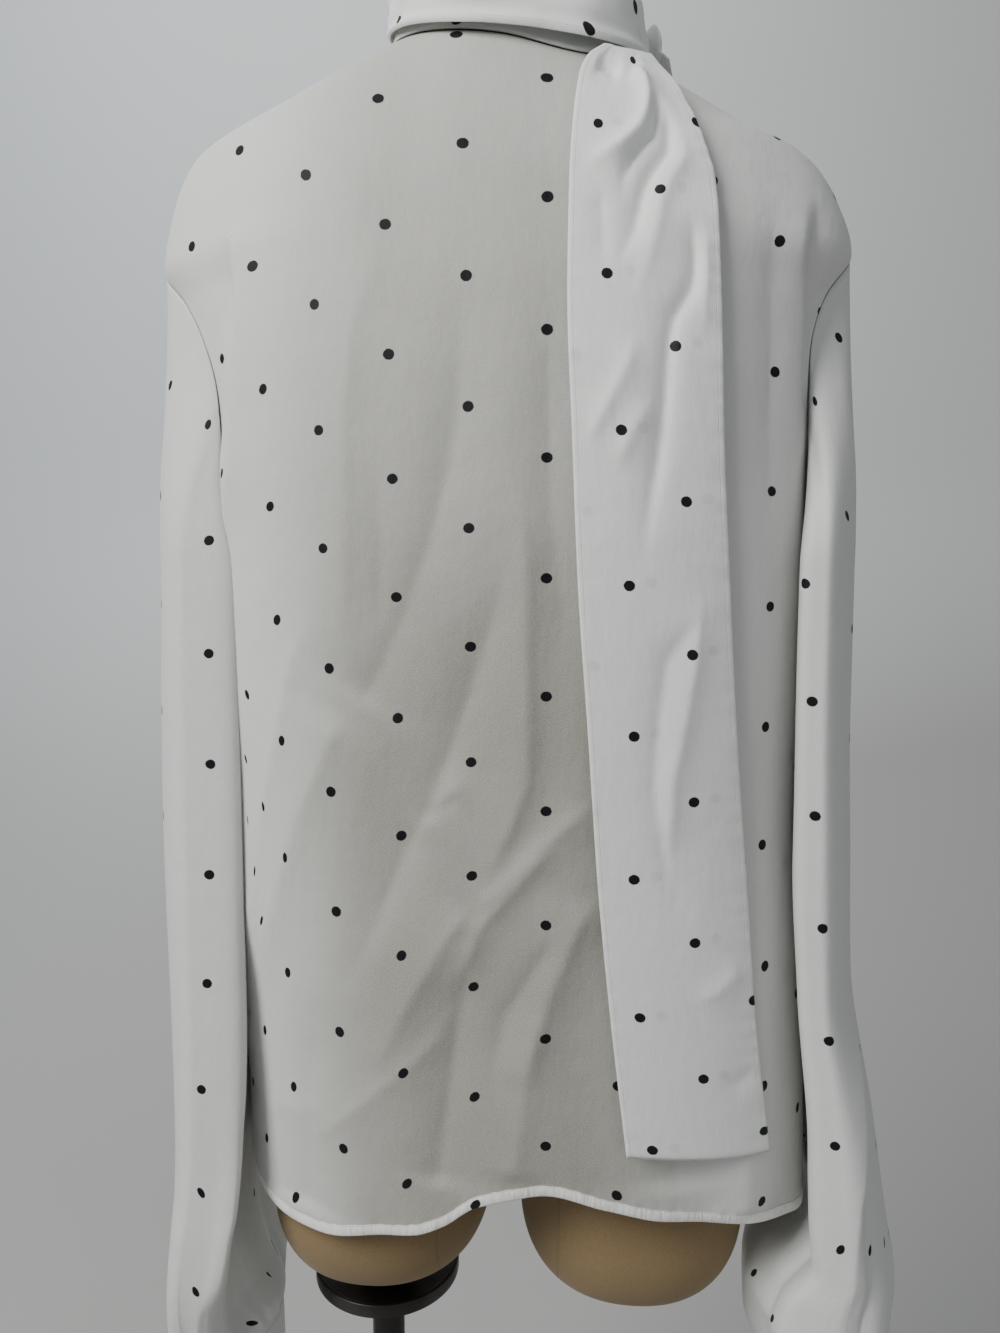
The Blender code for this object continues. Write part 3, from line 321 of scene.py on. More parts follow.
FRONT_CREASES = rows_of(Crease, [
    ([(-0.080, 1.150), (-0.088, 0.960), (-0.096, 0.715)], -0.0060, 0.022, 0.030, 0.3, 0.02),
    ([(0.060, 1.160), (0.072, 0.950), (0.086, 0.712)], -0.0060, 0.030, 0.022, 0.3, 0.02),
    ([(0.004, 1.080), (-0.004, 0.900), (-0.014, 0.725)], -0.0050, 0.024, 0.020, 0.3, 0.02),
    ([(0.125, 1.140), (0.130, 0.960), (0.136, 0.715)], 0.0040, 0.022, 0.024, 0.3, 0.1),
    ([(-0.130, 1.140), (-0.136, 0.960), (-0.143, 0.712)], 0.0040, 0.022, 0.026, 0.3, 0.1),
    ([(0.030, 1.040), (0.036, 0.900), (0.042, 0.712)], 0.0030, 0.014, 0.020, 0.4, 0.05),
    ([(-0.046, 1.000), (-0.050, 0.880), (-0.052, 0.720)], 0.0026, 0.020, 0.012, 0.4, 0.05),
    ([(0.150, 1.290), (0.118, 1.240), (0.098, 1.180)], 0.0022, 0.014, 0.020, 0.3, 0.5),
    ([(-0.152, 1.292), (-0.124, 1.246), (-0.106, 1.176)], 0.0024, 0.020, 0.012, 0.3, 0.5),
    ([(0.158, 1.160), (0.128, 1.120), (0.092, 1.092)], -0.0020, 0.014, 0.014, 0.2, 0.5),
    ([(-0.156, 1.164), (-0.130, 1.118), (-0.104, 1.088)], -0.0022, 0.014, 0.012, 0.2, 0.5),
])
# On the tie's ends a path's first value is its distance in metres from the end's left edge.
TAIL_CREASES = rows_of(Crease, [
    ([(0.0440, 1.366), (0.0523, 1.3585), (0.0519, 1.348), (0.0481, 1.338), (0.0413, 1.3275),
      (0.0297, 1.318), (0.0180, 1.313), (0.0076, 1.3065)], 0.0056, 0.008, 0.005, 0.1, 0.3),
    ([(0.010, 1.370), (0.024, 1.367), (0.036, 1.362)], -0.0040, 0.007, 0.006, 0.25, 0.35),
    ([(0.0617, 1.3533), (0.0547, 1.3377), (0.0499, 1.3273), (0.0416, 1.3195), (0.0354, 1.3117),
      (0.0308, 1.3024), (0.0290, 1.285)], -0.0048, 0.004, 0.004, 0.2, 0.5),
    ([(0.0630, 1.348), (0.0611, 1.3325), (0.0582, 1.3195), (0.0496, 1.309), (0.0430, 1.2987),
      (0.0398, 1.2883), (0.0367, 1.2753), (0.0312, 1.265), (0.0243, 1.252)], -0.0048, 0.004, 0.006, 0.2,
      0.4),
    ([(0.0700, 1.330), (0.0670, 1.314), (0.0580, 1.302), (0.0510, 1.288), (0.0470, 1.270), (0.0410, 1.250),
      (0.0330, 1.228)], 0.0022, 0.005, 0.008, 0.2, 0.5),
    ([(0.0675, 1.2883), (0.0680, 1.270), (0.0690, 1.2597), (0.0672, 1.2467), (0.0605, 1.2363),
      (0.0562, 1.2296), (0.0536, 1.2181), (0.0505, 1.187), (0.0460, 1.158), (0.0390, 1.125),
      (0.0330, 1.095)], -0.0038, 0.004, 0.006, 0.15, 0.4),
    ([(0.0170, 1.300), (0.0190, 1.275), (0.0190, 1.250)], -0.0014, 0.004, 0.005, 0.3, 0.4),
    ([(0.0760, 1.282), (0.0750, 1.250), (0.0720, 1.215)], 0.0018, 0.006, 0.005, 0.3, 0.5),
    ([(0.037, 1.224), (0.030, 1.203), (0.015, 1.178), (0.006, 1.163)], 0.0024, 0.006, 0.006, 0.3, 0.3),
    ([(0.046, 1.189), (0.036, 1.178), (0.022, 1.153)], 0.0020, 0.006, 0.006, 0.3, 0.3),
    ([(0.068, 1.094), (0.062, 1.054), (0.054, 1.022), (0.045, 0.990), (0.040, 0.951), (0.044, 0.922)],
      0.0030, 0.006, 0.011, 0.2, 0.3),
    ([(0.074, 1.080), (0.060, 1.070), (0.046, 1.055), (0.039, 1.023), (0.034, 0.985), (0.038, 0.940),
      (0.050, 0.908)], -0.0024, 0.008, 0.006, 0.2, 0.3),
    ([(0.078, 0.884), (0.062, 0.872), (0.046, 0.865)], 0.0018, 0.008, 0.006, 0.2, 0.4),
    ([(0.084, 0.825), (0.068, 0.816), (0.056, 0.815)], -0.0014, 0.006, 0.006, 0.2, 0.4),
])
FRONT_TAIL_CREASES = rows_of(Crease, [
    ([(0.012, 1.385), (0.028, 1.350), (0.034, 1.300), (0.030, 1.230)], 0.0050, 0.008, 0.007, 0.15, 0.5),
    ([(0.024, 1.385), (0.044, 1.350), (0.050, 1.290), (0.044, 1.200)], -0.0045, 0.007, 0.007, 0.15, 0.5),
    ([(0.052, 1.345), (0.064, 1.290), (0.062, 1.220)], 0.0024, 0.008, 0.008, 0.3, 0.5),
    ([(0.020, 1.150), (0.034, 1.060), (0.046, 0.960)], 0.0020, 0.012, 0.010, 0.4, 0.4),
])
# On a sleeve a path's first value is its distance round the sleeve from the middle of its back, towards its
# inner side, which is the left slope of a path that runs down.
LEFT_SLEEVE_CREASES = rows_of(Crease, [
    ([(-0.062, 1.240), (-0.058, 1.120), (-0.060, 0.980), (-0.056, 0.820)], 0.0014, 0.018, 0.020, 0.3, 0.5),
    ([(0.010, 0.800), (0.014, 0.740), (0.016, 0.680), (0.014, 0.600)], -0.0010, 0.010, 0.014, 0.4, 0.1),
    ([(0.034, 0.760), (0.032, 0.690), (0.034, 0.600)], 0.0012, 0.012, 0.010, 0.4, 0.1),
    ([(-0.030, 0.700), (-0.034, 0.650), (-0.036, 0.590)], 0.0012, 0.014, 0.010, 0.5, 0.1),
    ([(-0.150, 1.180), (-0.156, 1.040), (-0.154, 0.880)], -0.0022, 0.014, 0.016, 0.3, 0.4),
    ([(-0.126, 0.800), (-0.130, 0.700), (-0.134, 0.600)], 0.0030, 0.014, 0.012, 0.4, 0.1),
])
RIGHT_SLEEVE_CREASES = rows_of(Crease, [
    ([(-0.058, 0.860), (-0.0252, 0.795), (-0.0096, 0.743), (-0.0030, 0.685), (-0.0020, 0.600)], 0.0040,
      0.022, 0.005, 0.3, 0.1),
    ([(-0.060, 0.820), (-0.032, 0.770), (-0.020, 0.720), (-0.015, 0.670), (-0.015, 0.600)], -0.0040, 0.006,
      0.018, 0.3, 0.1),
    ([(0.036, 0.730), (0.046, 0.690), (0.052, 0.640), (0.050, 0.600)], -0.0034, 0.008, 0.014, 0.3, 0.1),
    ([(-0.056, 1.230), (-0.054, 1.120), (-0.056, 0.980)], 0.0014, 0.014, 0.014, 0.3, 0.5),
    ([(-0.150, 1.180), (-0.156, 1.020), (-0.150, 0.860)], -0.0022, 0.014, 0.016, 0.3, 0.4),
    ([(-0.130, 0.780), (-0.136, 0.690), (-0.140, 0.600)], 0.0034, 0.014, 0.012, 0.4, 0.1),
])

# Waves of the cloth: their size, their turns for each metre or radian across and up it, and where they
# start. Each may be bent by a slower wave, whose size, turns and start follow.
Wave = namedtuple("Wave", "size across up start bend bend_across bend_up bend_start")
RIPPLES = rows_of(Wave, [
    (0.34, 61, 5.0, 0.7, 0.0, 0, 0, 0.0),
    (0.26, 97, -9.0, 0.0, 2.1, 0, 7, 0.0),
    (0.14, 151, 17.0, 0.0, 1.9, 0, 11, 1.0),
    (0.16, 40, 23, 0.4, 0.0, 0, 0, 0.0),
    (0.10, -27, 41, 2.2, 0.0, 0, 0, 0.0),
])
HEM_PUCKERS = rows_of(Wave, [
    (0.6, 520, 0, 0.0, 2.0, 130, 0, 0.0),
    (0.4, 890, 0, 1.3, 0.0, 0, 0, 0.0),
])
HEM_SWAYS = rows_of(Wave, [
    (0.0012, 70, 0, 0.6, 0.0, 0, 0, 0.0),
    (0.0008, 131, 0, 2.0, 0.0, 0, 0, 0.0),
])
CUFF_PLEATS = rows_of(Wave, [
    (0.55, 19, 0, 0.0, 1.2, 3, 0, 0.0),
    (0.30, 31, 0, 0.0, 0.9, 4, 0, 1.0),
    (0.25, 13, 0, 2.0, 0.0, 0, 0, 0.0),
])
WRAP_FOLDS = rows_of(Wave, [
    (0.0011, 3, 9, 0.5, 0.0, 0, 0, 0.0),
    (0.0007, 7, -14, 2.0, 0.0, 0, 0, 0.0),
])
TIE_PUCKERS = rows_of(Wave, [(0.0005, 0, 430, 0.0, 2.5, 0, 90, 0.0)])
TIE_RIGHT_SWAY = rows_of(Wave, [(1.0, 0, 21, 1.0, 0.0, 0, 0, 0.0)])
TIE_LEFT_SWAY = rows_of(Wave, [(1.0, 0, 17, 2.4, 0.0, 0, 0, 0.0)])

# How the print runs on the back: the height up the hanging cloth, the same height along the print, how far
# the print is drawn to the side there by the shoulders, and how much of it is tucked round the left side.
PrintRow = namedtuple("PrintRow", "height printed flare tuck")
PRINT_ROWS = rows_of(PrintRow, [
    (0.690, -0.364, 0.0, 0.10),
    (0.8010, -0.2576, 0.0, 0.35),
    (0.8680, -0.1932, 0.0, 0.45),
    (0.9336, -0.1288, 0.0, 1.60),
    (0.9975, -0.0644, 0.0, 0.65),
    (1.0605, 0.0, 0.0, 0.05),
    (1.1235, 0.0644, 0.05, 0.0),
    (1.1870, 0.1288, 0.17, 0.12),
    (1.2545, 0.1932, 0.38, 0.05),
    (1.2900, 0.2256, 0.60, 0.0),
    (1.3262, 0.2576, 0.95, 0.0),
    (1.3600, 0.2880, 1.4, 0.0),
    (1.4120, 0.3376, 2.3, 0.0),
])
# FROM and ABOVE give where a change starts, BELOW where it ends, each with the width over which it fades.
PRINT_MIDDLE_DRAW = 0.005
PRINT_SIDE_DRAW = 0.09
PRINT_TUCK = 0.034
PRINT_TUCK_START = 0.095
PRINT_TUCK_WIDTH = 0.041
PRINT_TUCK_LIMIT = 1.6
PRINT_RIGHT_DRAW = 0.0065
PRINT_RIGHT_FROM = (0.09, 0.05)
PRINT_RIGHT_BELOW = (1.27, 0.06)
PRINT_EDGE_DRAW = 0.008
PRINT_EDGE_FROM = (0.160, 0.02)
PRINT_EDGE_ABOVE = (1.16, 0.06)
PRINT_LEFT_DRAW = 0.0068
PRINT_LEFT_PLACE = 0.122
PRINT_LEFT_WIDTH = 0.022
PRINT_LEFT_ABOVE = (0.93, 0.06)
PRINT_LEFT_BELOW = (1.32, 0.05)
PRINT_DROP = 0.10
PRINT_DROP_START = 1.08
PRINT_DROP_MIDDLE = -0.015
PRINT_DROP_LEVEL = 0.02
PRINT_DROP_WIDTH = 0.075
PRINT_RIGHT_DROP = 0.75
PRINT_RIGHT_DROP_FROM = (0.05, 0.09)
PRINT_LEFT_DROP = 0.18
PRINT_LEFT_DROP_START = 0.105
PRINT_LEFT_DROP_LOW = 0.3
PRINT_LEFT_DROP_ABOVE = (0.94, 0.08)
PRINT_SHIFT = (0.0335, 0.0269)
TIE_PRINT_SHIFT = (0.0277, 0.0125)
TIE_GHOST_SHIFT = (0.0070, 0.0540)
WRAP_PRINT_SHIFT = (-0.0484, 0.0188)
WRAP_PRINT_SKEW = 0.308
WRAP_PRINT_RADIUS = 0.0736

# How the print runs on a sleeve: the height, the same height along the print, and the place round the
# sleeve of the column of dots down its back, measured from the middle of its back.
SleevePrint = namedtuple("SleevePrint", "height printed column")
LEFT_PRINT = rows_of(SleevePrint, [
    (0.580, -0.5863, 0.0020),
    (0.6538, -0.5152, 0.0088),
    (0.7500, -0.4186, 0.0030),
    (0.8503, -0.3220, 0.0095),
    (0.9854, -0.1932, 0.0148),
    (1.1182, -0.0644, 0.0147),
    (1.1857, 0.0, -0.0094),
    (1.2860, 0.0970, -0.0200),
])
RIGHT_PRINT = rows_of(SleevePrint, [
    (0.580, -0.4740, 0.0020),
    (0.6600, -0.3850, 0.0),
    (0.7180, -0.3220, 0.0009),
    (0.7780, -0.2576, 0.0),
    (0.8378, -0.1932, -0.0043),
    (0.9025, -0.1288, -0.0036),
    (0.9660, -0.0644, 0.0006),
    (1.0297, 0.0, 0.0030),
    (1.0940, 0.0644, 0.0086),
    (1.1580, 0.1288, 0.0350),
    (1.2860, 0.2530, 0.0300),
])
# Where the sleeves widen above their gathers the print runs lower on the outer side, and it is wider there.
SLEEVE_PRINT_SHEAR = 0.70
SLEEVE_PRINT_WIDEN = 0.64
SLEEVE_PRINT_START = 0.80
SLEEVE_PRINT_RANGE = 0.09
SLEEVE_PRINT_GATHER = 0.014
SLEEVE_PRINT_GATHER_FROM = (0.008, 0.022)

# How far the print is drawn towards the left edge down the tie's hanging ends.
TieDrift = namedtuple("TieDrift", "height drift")
TIE_DRIFT = rows_of(TieDrift, [
    (0.771, 0.0128), (0.880, 0.0105), (0.940, 0.0075), (1.000, 0.0034), (1.060, 0.0008), (1.120, 0.0),
    (1.190, 0.0018), (1.250, 0.0064), (1.320, 0.0112), (1.398, 0.0125),
])


# ---------------------------------------------------------------- settings shown in the sidebar


def length_setting(name, description, default):
    """A sidebar setting in metres."""
    return FloatProperty(name=name, description=description, default=default, unit="LENGTH")


def colour_setting(name, description, default):
    """A sidebar setting that is a colour."""
    return FloatVectorProperty(
        name=name, description=description, default=default, subtype="COLOR", min=0.0, max=1.0)


class BlouseCloth(bpy.types.PropertyGroup):
    """The cloth of the blouse and its print."""

    thickness: length_setting("Thickness", "Thickness of the crepe", 0.0005)
    hem_depth: length_setting("Hem depth", "Depth of the narrow rolled hem", 0.0070)
    dot_width: length_setting("Dot width", "Width of a printed dot", 0.0062)
    dot_height: length_setting("Dot height", "Height of a printed dot", 0.0057)
    column_gap: length_setting("Column gap", "Distance between columns of dots", 0.0410)
    row_gap: length_setting("Row gap", "Distance between dots down a column", 0.0644)
    column_drop: length_setting(
        "Column drop", "How much lower each column starts than the one to its left", 0.0269)
    colour: colour_setting("Cloth colour", "Off-white of the crepe", (0.82, 0.83, 0.80))
    dot_colour: colour_setting("Dot colour", "Black of the print", (0.008, 0.008, 0.010))


class BlouseTie(bpy.types.PropertyGroup):
    """The doubled tie, cut crosswise from the same cloth."""

    column_gap: length_setting("Column gap", "Distance between columns of dots across the tie", 0.0328)
    row_gap: length_setting("Row gap", "Distance between dots along the tie", 0.0790)
    column_drop: length_setting(
        "Column drop", "How much lower each column starts than the one to its left", 0.0359)
    colour: colour_setting("Cloth colour", "White of the doubled crepe", (0.90, 0.92, 0.885))


class BlouseStand(bpy.types.PropertyGroup):
    """The dress form under the blouse, and its stand."""

    cover_colour: colour_setting("Cover colour", "Tan of the form's linen cover", (0.235, 0.165, 0.082))
    metal_colour: colour_setting("Metal colour", "Near black of the stand", (0.016, 0.014, 0.012))
    edge_rounding: length_setting("Edge rounding", "Radius of the stand's metal edges", 0.0012)


# ---------------------------------------------------------------- curves and surfaces

ROUND = 2.0
PROBE_STEP = 0.0005
LEAST_PROBE_DEPTH = 0.002


def ease(rows, column, at):
    """One column of a table at places along its first column, eased between the rows without overshoot."""
    ordered = sorted(rows, key=lambda row: row[0])
    keys = np.array([row[0] for row in ordered], dtype=float)
    values = np.array([getattr(row, column) for row in ordered], dtype=float)
    slopes = np.diff(values) / np.diff(keys)
    product = slopes[:-1] * slopes[1:]
    total = np.where(product > 0, slopes[:-1] + slopes[1:], 1.0)
    tangents = np.concatenate([slopes[:1], np.where(product > 0, 2 * product / total, 0.0), slopes[-1:]])
    at = np.clip(at, keys[0], keys[-1])
    i = np.clip(np.searchsorted(keys, at, side="right") - 1, 0, len(slopes) - 1)
    step = keys[i + 1] - keys[i]
    t = (at - keys[i]) / step
    return (
        values[i] * (1 + 2 * t) * (1 - t) ** 2
        + values[i + 1] * t * t * (3 - 2 * t)
        + step * tangents[i] * t * (1 - t) ** 2
        - step * tangents[i + 1] * t * t * (1 - t)
    )


def smoothstep(value):
    """0 below 0, 1 above 1, and a soft step between."""
    t = np.clip(value, 0.0, 1.0)
    return t * t * (3 - 2 * t)


def fade_in(value, ramp):
    """0 below the ramp's start, 1 past its width, and a soft step between."""
    start, width = ramp
    return smoothstep((value - start) / width)


def fade_out(value, ramp):
    """1 well below the ramp's end, 0 above it, and a soft step between."""
    end, width = ramp
    return smoothstep((end - value) / width)


def hump(value, middle, spread):
    """1 at the middle, falling softly to 0 on both sides."""
    return np.exp(-(((value - middle) / spread) ** 2))


def ring_angles(count):
    """Angles that divide a full turn evenly."""
    return np.linspace(0, 2 * math.pi, count, endpoint=False)


def round_off(share):
    """The rise of a quarter circle: 0 at 0, 1 from 1 on."""
    return np.sqrt(np.clip(1 - (1 - np.clip(share, 0, 1)) ** 2, 0, 1))


def oval(angle, half_width, half_length, squareness):
    """Points of a superellipse."""
    power = 2 / squareness
    x = half_width * np.sign(np.cos(angle)) * np.abs(np.cos(angle)) ** power
    y = half_length * np.sign(np.sin(angle)) * np.abs(np.sin(angle)) ** power
    return x, y


def body_depth(height, y):
    """The body's reach behind or in front of its middle at a height."""
    return np.where(y >= 0, ease(BODY_SECTIONS, "back", height), ease(BODY_SECTIONS, "front", height))


def body_point(angle, height, lift=0.0):
    """Points of the body's outer surface: 0 is the left side, half pi the back; lift moves them outwards."""
    half_width = ease(BODY_SECTIONS, "half_width", height)
    depth = body_depth(height, np.sin(angle))
    squareness = ease(BODY_SECTIONS, "squareness", height)
    x, y = oval(angle, half_width, depth, squareness)
    out_x, out_y = oval(angle, 1 / half_width, 1 / depth, squareness / (squareness - 1))
    length = np.hypot(out_x, out_y)
    x = x + lift * out_x / length
    y = y + lift * out_y / length
    sway = ease(BODY_SECTIONS, "sway", height)
    roll = ease(BODY_SECTIONS, "roll", height)
    return np.stack([x + sway, y, height + roll * x], axis=-1)


def body_y(x, height, side):
    """The body's surface y at a place across it; side is 1 for the back and -1 for the front."""
    depth = body_depth(height, side * np.ones_like(height))
    squareness = ease(BODY_SECTIONS, "squareness", height)
    across = np.abs(x - ease(BODY_SECTIONS, "sway", height)) / ease(BODY_SECTIONS, "half_width", height)
    return side * depth * np.maximum(0.0, 1 - across**squareness) ** (1 / squareness)


def body_reach(x, y, height):
    """Over 1 where a place is outside the body's section at that height, under 1 inside it."""
    squareness = ease(BODY_SECTIONS, "squareness", height)
    across = np.abs(x - ease(BODY_SECTIONS, "sway", height)) / ease(BODY_SECTIONS, "half_width", height)
    along = np.abs(y) / body_depth(height, y)
    return (across**squareness + along**squareness) ** (1 / squareness)


def stand_off(x, height, side, lift):
    """Places above the back (side 1) or front (side -1) of the body, moved out along its normal."""
    step = PROBE_STEP
    y = body_y(x, height, side)
    probe = side * np.maximum(np.abs(y), LEAST_PROBE_DEPTH)
    up = body_reach(x, probe, height + step) - body_reach(x, probe, height - step)
    out = body_reach(x, probe + step, height) - body_reach(x, probe - step, height)
    length = np.hypot(out, up)
    return np.stack([x, y + lift * out / length, height + lift * up / length], axis=-1)


CREASE_STRENGTH = 1.2
CREASE_SHARPNESS = 1.15
SHORTEST_CREASE_FADE = 0.01


def crease_lift(creases, x, height):
    """The summed lift of creases at places given by two coordinates along the cloth."""
    total = np.zeros_like(x)
    for crease in creases:
        path = np.array(crease.path)
        runs = np.diff(path, axis=0)
        lengths = np.hypot(runs[:, 0], runs[:, 1])
        before = np.concatenate([[0.0], np.cumsum(lengths)])
        nearest = np.full_like(x, np.inf)
        along = np.zeros_like(x)
        turn = np.zeros_like(x)
        for i, (run, length) in enumerate(zip(runs, lengths)):
            dx = x - path[i, 0]
            dz = height - path[i, 1]
            share = np.clip((dx * run[0] + dz * run[1]) / length**2, 0.0, 1.0)
            distance = np.hypot(dx - share * run[0], dz - share * run[1])
            closer = distance < nearest
            nearest = np.where(closer, distance, nearest)
            along = np.where(closer, (before[i] + share * length) / before[-1], along)
            turn = np.where(closer, np.sign(run[0] * dz - run[1] * dx), turn)
        width = np.where(turn > 0, crease.left, crease.right)
        fade = smoothstep(along / max(crease.start, SHORTEST_CREASE_FADE))
        fade = fade * smoothstep((1 - along) / max(crease.finish, SHORTEST_CREASE_FADE))
        total += CREASE_STRENGTH * crease.rise * fade * np.exp(-((nearest / width) ** CREASE_SHARPNESS))
    return total


def wave_sum(waves, across, up=0.0):
    """The summed height of waves at places across and up a cloth."""
    total = 0.0
    for wave in waves:
        bent = wave.bend * np.sin(wave.bend_across * across + wave.bend_up * up + wave.bend_start)
        total = total + wave.size * np.sin(wave.across * across + wave.up * up + wave.start + bent)
    return total


def soft_ripples(x, height, strength):
    """Low irregular unevenness of hanging cloth: slow waves that cross, mostly down its length."""
    return strength * wave_sum(RIPPLES, x, height)


# ---------------------------------------------------------------- meshes

FAR = 1.0


def add_lattice(name, points, print_map, closed=False, ring=False, marks=None):
    """A mesh from rows of points that run anticlockwise seen from above, lowest row first.

    print_map holds a place on the print for each point, with one more column where the lattice is closed
    across and one more row where it is a ring upwards. marks are named values for each point.
    """
    rows, columns = points.shape[:2]
    index = np.arange(rows * columns).reshape(rows, columns)
    across = np.arange(columns if closed else columns - 1)
    upward = np.arange(rows if ring else rows - 1)
    beside = (across + 1) % columns
    above = (upward + 1) % rows
    faces = np.stack(
        [
            index[np.ix_(upward, across)],
            index[np.ix_(upward, beside)],
            index[np.ix_(above, beside)],
            index[np.ix_(above, across)],
        ],
        axis=-1,
    ).reshape(-1, 4)
    mesh = bpy.data.meshes.new(name)
    mesh.from_pydata(points.reshape(-1, 3).tolist(), [], faces.tolist())
    corners = np.stack(
        [
            print_map[np.ix_(upward, across)],
            print_map[np.ix_(upward, across + 1)],
            print_map[np.ix_(upward + 1, across + 1)],
            print_map[np.ix_(upward + 1, across)],
        ],
        axis=2,
    )
    layer = mesh.uv_layers.new(name="Print")
    layer.data.foreach_set("uv", corners.reshape(-1))
    for label, values in (marks or {}).items():
        attribute = mesh.attributes.new(label, "FLOAT", "POINT")
        attribute.data.foreach_set("value", values.reshape(-1))
    mesh.shade_smooth()
    piece = bpy.data.objects.new(name, mesh)
    bpy.context.scene.collection.objects.link(piece)
    return piece


def thicken(piece, thickness):
    """Gives a sheet its wall, on its inner side."""
    wall = piece.modifiers.new("Cloth wall", "SOLIDIFY")
    wall.thickness = thickness
    wall.offset = -1
    return piece


def dress(piece, node, material):
    """Rides on the part, stands for its node and wears its material."""
    piece.data.materials.clear()
    piece.data.materials.append(material)
    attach(piece, BODY)
    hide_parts(node)
    return piece


def reversed_ring(values):
    """A closed lattice run the other way from the same first column, as its reversed print map is."""
    return np.roll(values[:, ::-1], 1, axis=1)


def widened(values):
    """A lattice of values or points with its first column repeated after its last."""
    return np.concatenate([values, values[:, :1]], axis=1)


def marks_of(edge=None, hem=None):
    """What the cloth's material reads at each point: the distances from a stitched edge and from a hem."""
    shape = np.zeros_like(edge if hem is None else hem)
    return {"hem": shape + FAR if hem is None else hem, "edge": shape + FAR if edge is None else edge}


def ring_print(angle, radius, up):
    """The print of a tube that stands upright: how far round it and how high up it each point lies."""
    around = np.append(angle, 2 * math.pi) * radius + 0 * widened(up)
    return np.stack([around, widened(up)], axis=-1)


def sew(name, cloth, node, slot, material, wall=None, **joined):
    """A dressed piece from a lattice's points, print and marks, with its wall where it has one."""
    points, print_map, marks = cloth
    piece = add_lattice(name, points, print_map, marks=marks, **joined)
    if wall:
        thicken(piece, wall)
    return dress(piece, node, material)


# ---------------------------------------------------------------- body panels

BACK_COLUMNS = 180
FRONT_COLUMNS = 124
BODY_ROWS = 150
HEM_ROWS = (0.0, 0.0008, 0.0022, 0.0040, 0.0058, 0.0068, 0.0076, 0.0090)
ARMHOLE_ROWS = 64
ARMHOLE_ROW_EVENNESS = 0.25
YOKE_ROWS = 48
SEAM_DIP = 0.0005
SEAM_DIP_WIDTH = 0.0022
SIDE_SEAM_FADE = 0.025
NECK_SEAM_FADE = 0.03
HEM_ROLL = 0.0006
HEM_ROLL_HEIGHT = 0.0034
HEM_ROLL_SPREAD = 0.0028
PUCKER_SIZE = 0.00055
PUCKER_HEIGHT = 0.007
PUCKER_SPREAD = 0.004
HEM_SWAY_REACH = 0.02
GIRTH_STEPS = 49
WAIST_STEPS = 4001
SHOULDER_STEPS = 200


def even_columns(count):
    """Shares of the half turn across a panel that divide its girth at the waist evenly."""
    waist = BODY_SECTIONS[3]
    turn = np.linspace(0, math.pi, WAIST_STEPS)
    x, y = oval(turn, waist.half_width, waist.back, waist.squareness)
    girth = np.concatenate([[0.0], np.cumsum(np.hypot(np.diff(x), np.diff(y)))])
    return np.interp(np.linspace(0, girth[-1], count + 1), girth, turn) / math.pi


def armhole_y(height, facing, side):
    """How far the armhole seam lies behind (facing 1) or in front (-1) of the side seam."""
    reach = ARMHOLE_FRONT_REACH
    if facing > 0:
        reach = ARMHOLE_BACK_REACH_LEFT if side > 0 else ARMHOLE_BACK_REACH_RIGHT
    inside = 1 - ((height - ARMHOLE_MIDDLE) / ARMHOLE_HALF) ** 2
    return np.maximum(SEAM_GAP / 2, reach * np.sqrt(np.maximum(0.0, inside)))


def edge_angle(height, facing, side):
    """The turn from the side of the body to the panel's edge at a height."""
    squareness = ease(BODY_SECTIONS, "squareness", height)
    ratio = armhole_y(height, facing, side) / body_depth(height, facing * np.ones_like(height))
    return np.arcsin(ratio ** (squareness / 2))


def yoke_fractions():
    """Fractions from the armhole's top up to the neck that divide the shoulder line evenly."""
    heights = np.linspace(ARMHOLE_TOP, NECK_SIDE_HEIGHT, SHOULDER_STEPS)
    widths = ease(BODY_SECTIONS, "half_width", heights)
    lengths = np.concatenate([[0.0], np.cumsum(np.hypot(np.diff(heights), np.diff(widths)))])
    even = np.linspace(0.0, lengths[-1], YOKE_ROWS + 1)[1:]
    return (np.interp(even, lengths, heights) - ARMHOLE_TOP) / (NECK_SIDE_HEIGHT - ARMHOLE_TOP)


def panel_heights(bearing):
    """Heights up each column of a panel: hem rows, body rows, armhole rows, then yoke rows."""
    hem = ease(HEM, "height", np.degrees(bearing) % 360)
    neck = ease(NECK, "height", np.degrees(bearing) % 360)
    rows = [hem + rise for rise in HEM_ROWS]
    start = rows[-1]
    rows += [start + (ARMHOLE_BOTTOM - start) * row / BODY_ROWS for row in range(1, BODY_ROWS)]
    shares = np.linspace(0, 1, ARMHOLE_ROWS + 1)
    rises = -(1 - ARMHOLE_ROW_EVENNESS) * np.cos(math.pi * shares)
    rises = rises + ARMHOLE_ROW_EVENNESS * (2 * shares - 1)
    rows += [np.full_like(hem, ARMHOLE_MIDDLE + ARMHOLE_HALF * rise) for rise in rises]
    rows += [ARMHOLE_TOP + (neck - ARMHOLE_TOP) * fraction for fraction in yoke_fractions()]
    return np.array(rows)


def girth_from_middle(angle, height, middle):
    """The length along a section of the body from its middle, at the bearing middle, round to an angle."""
    steps = np.linspace(0, 1, GIRTH_STEPS)[:, None, None]
    turned = middle + (angle - middle) * steps
    squareness = ease(BODY_SECTIONS, "squareness", height)
    depth = body_depth(height, np.sin(angle))
    x, y = oval(turned, ease(BODY_SECTIONS, "half_width", height), depth, squareness)
    length = np.hypot(np.diff(x, axis=0), np.diff(y, axis=0)).sum(axis=0)
    return length * np.sign(np.cos(angle)) + ease(BODY_SECTIONS, "sway", height)


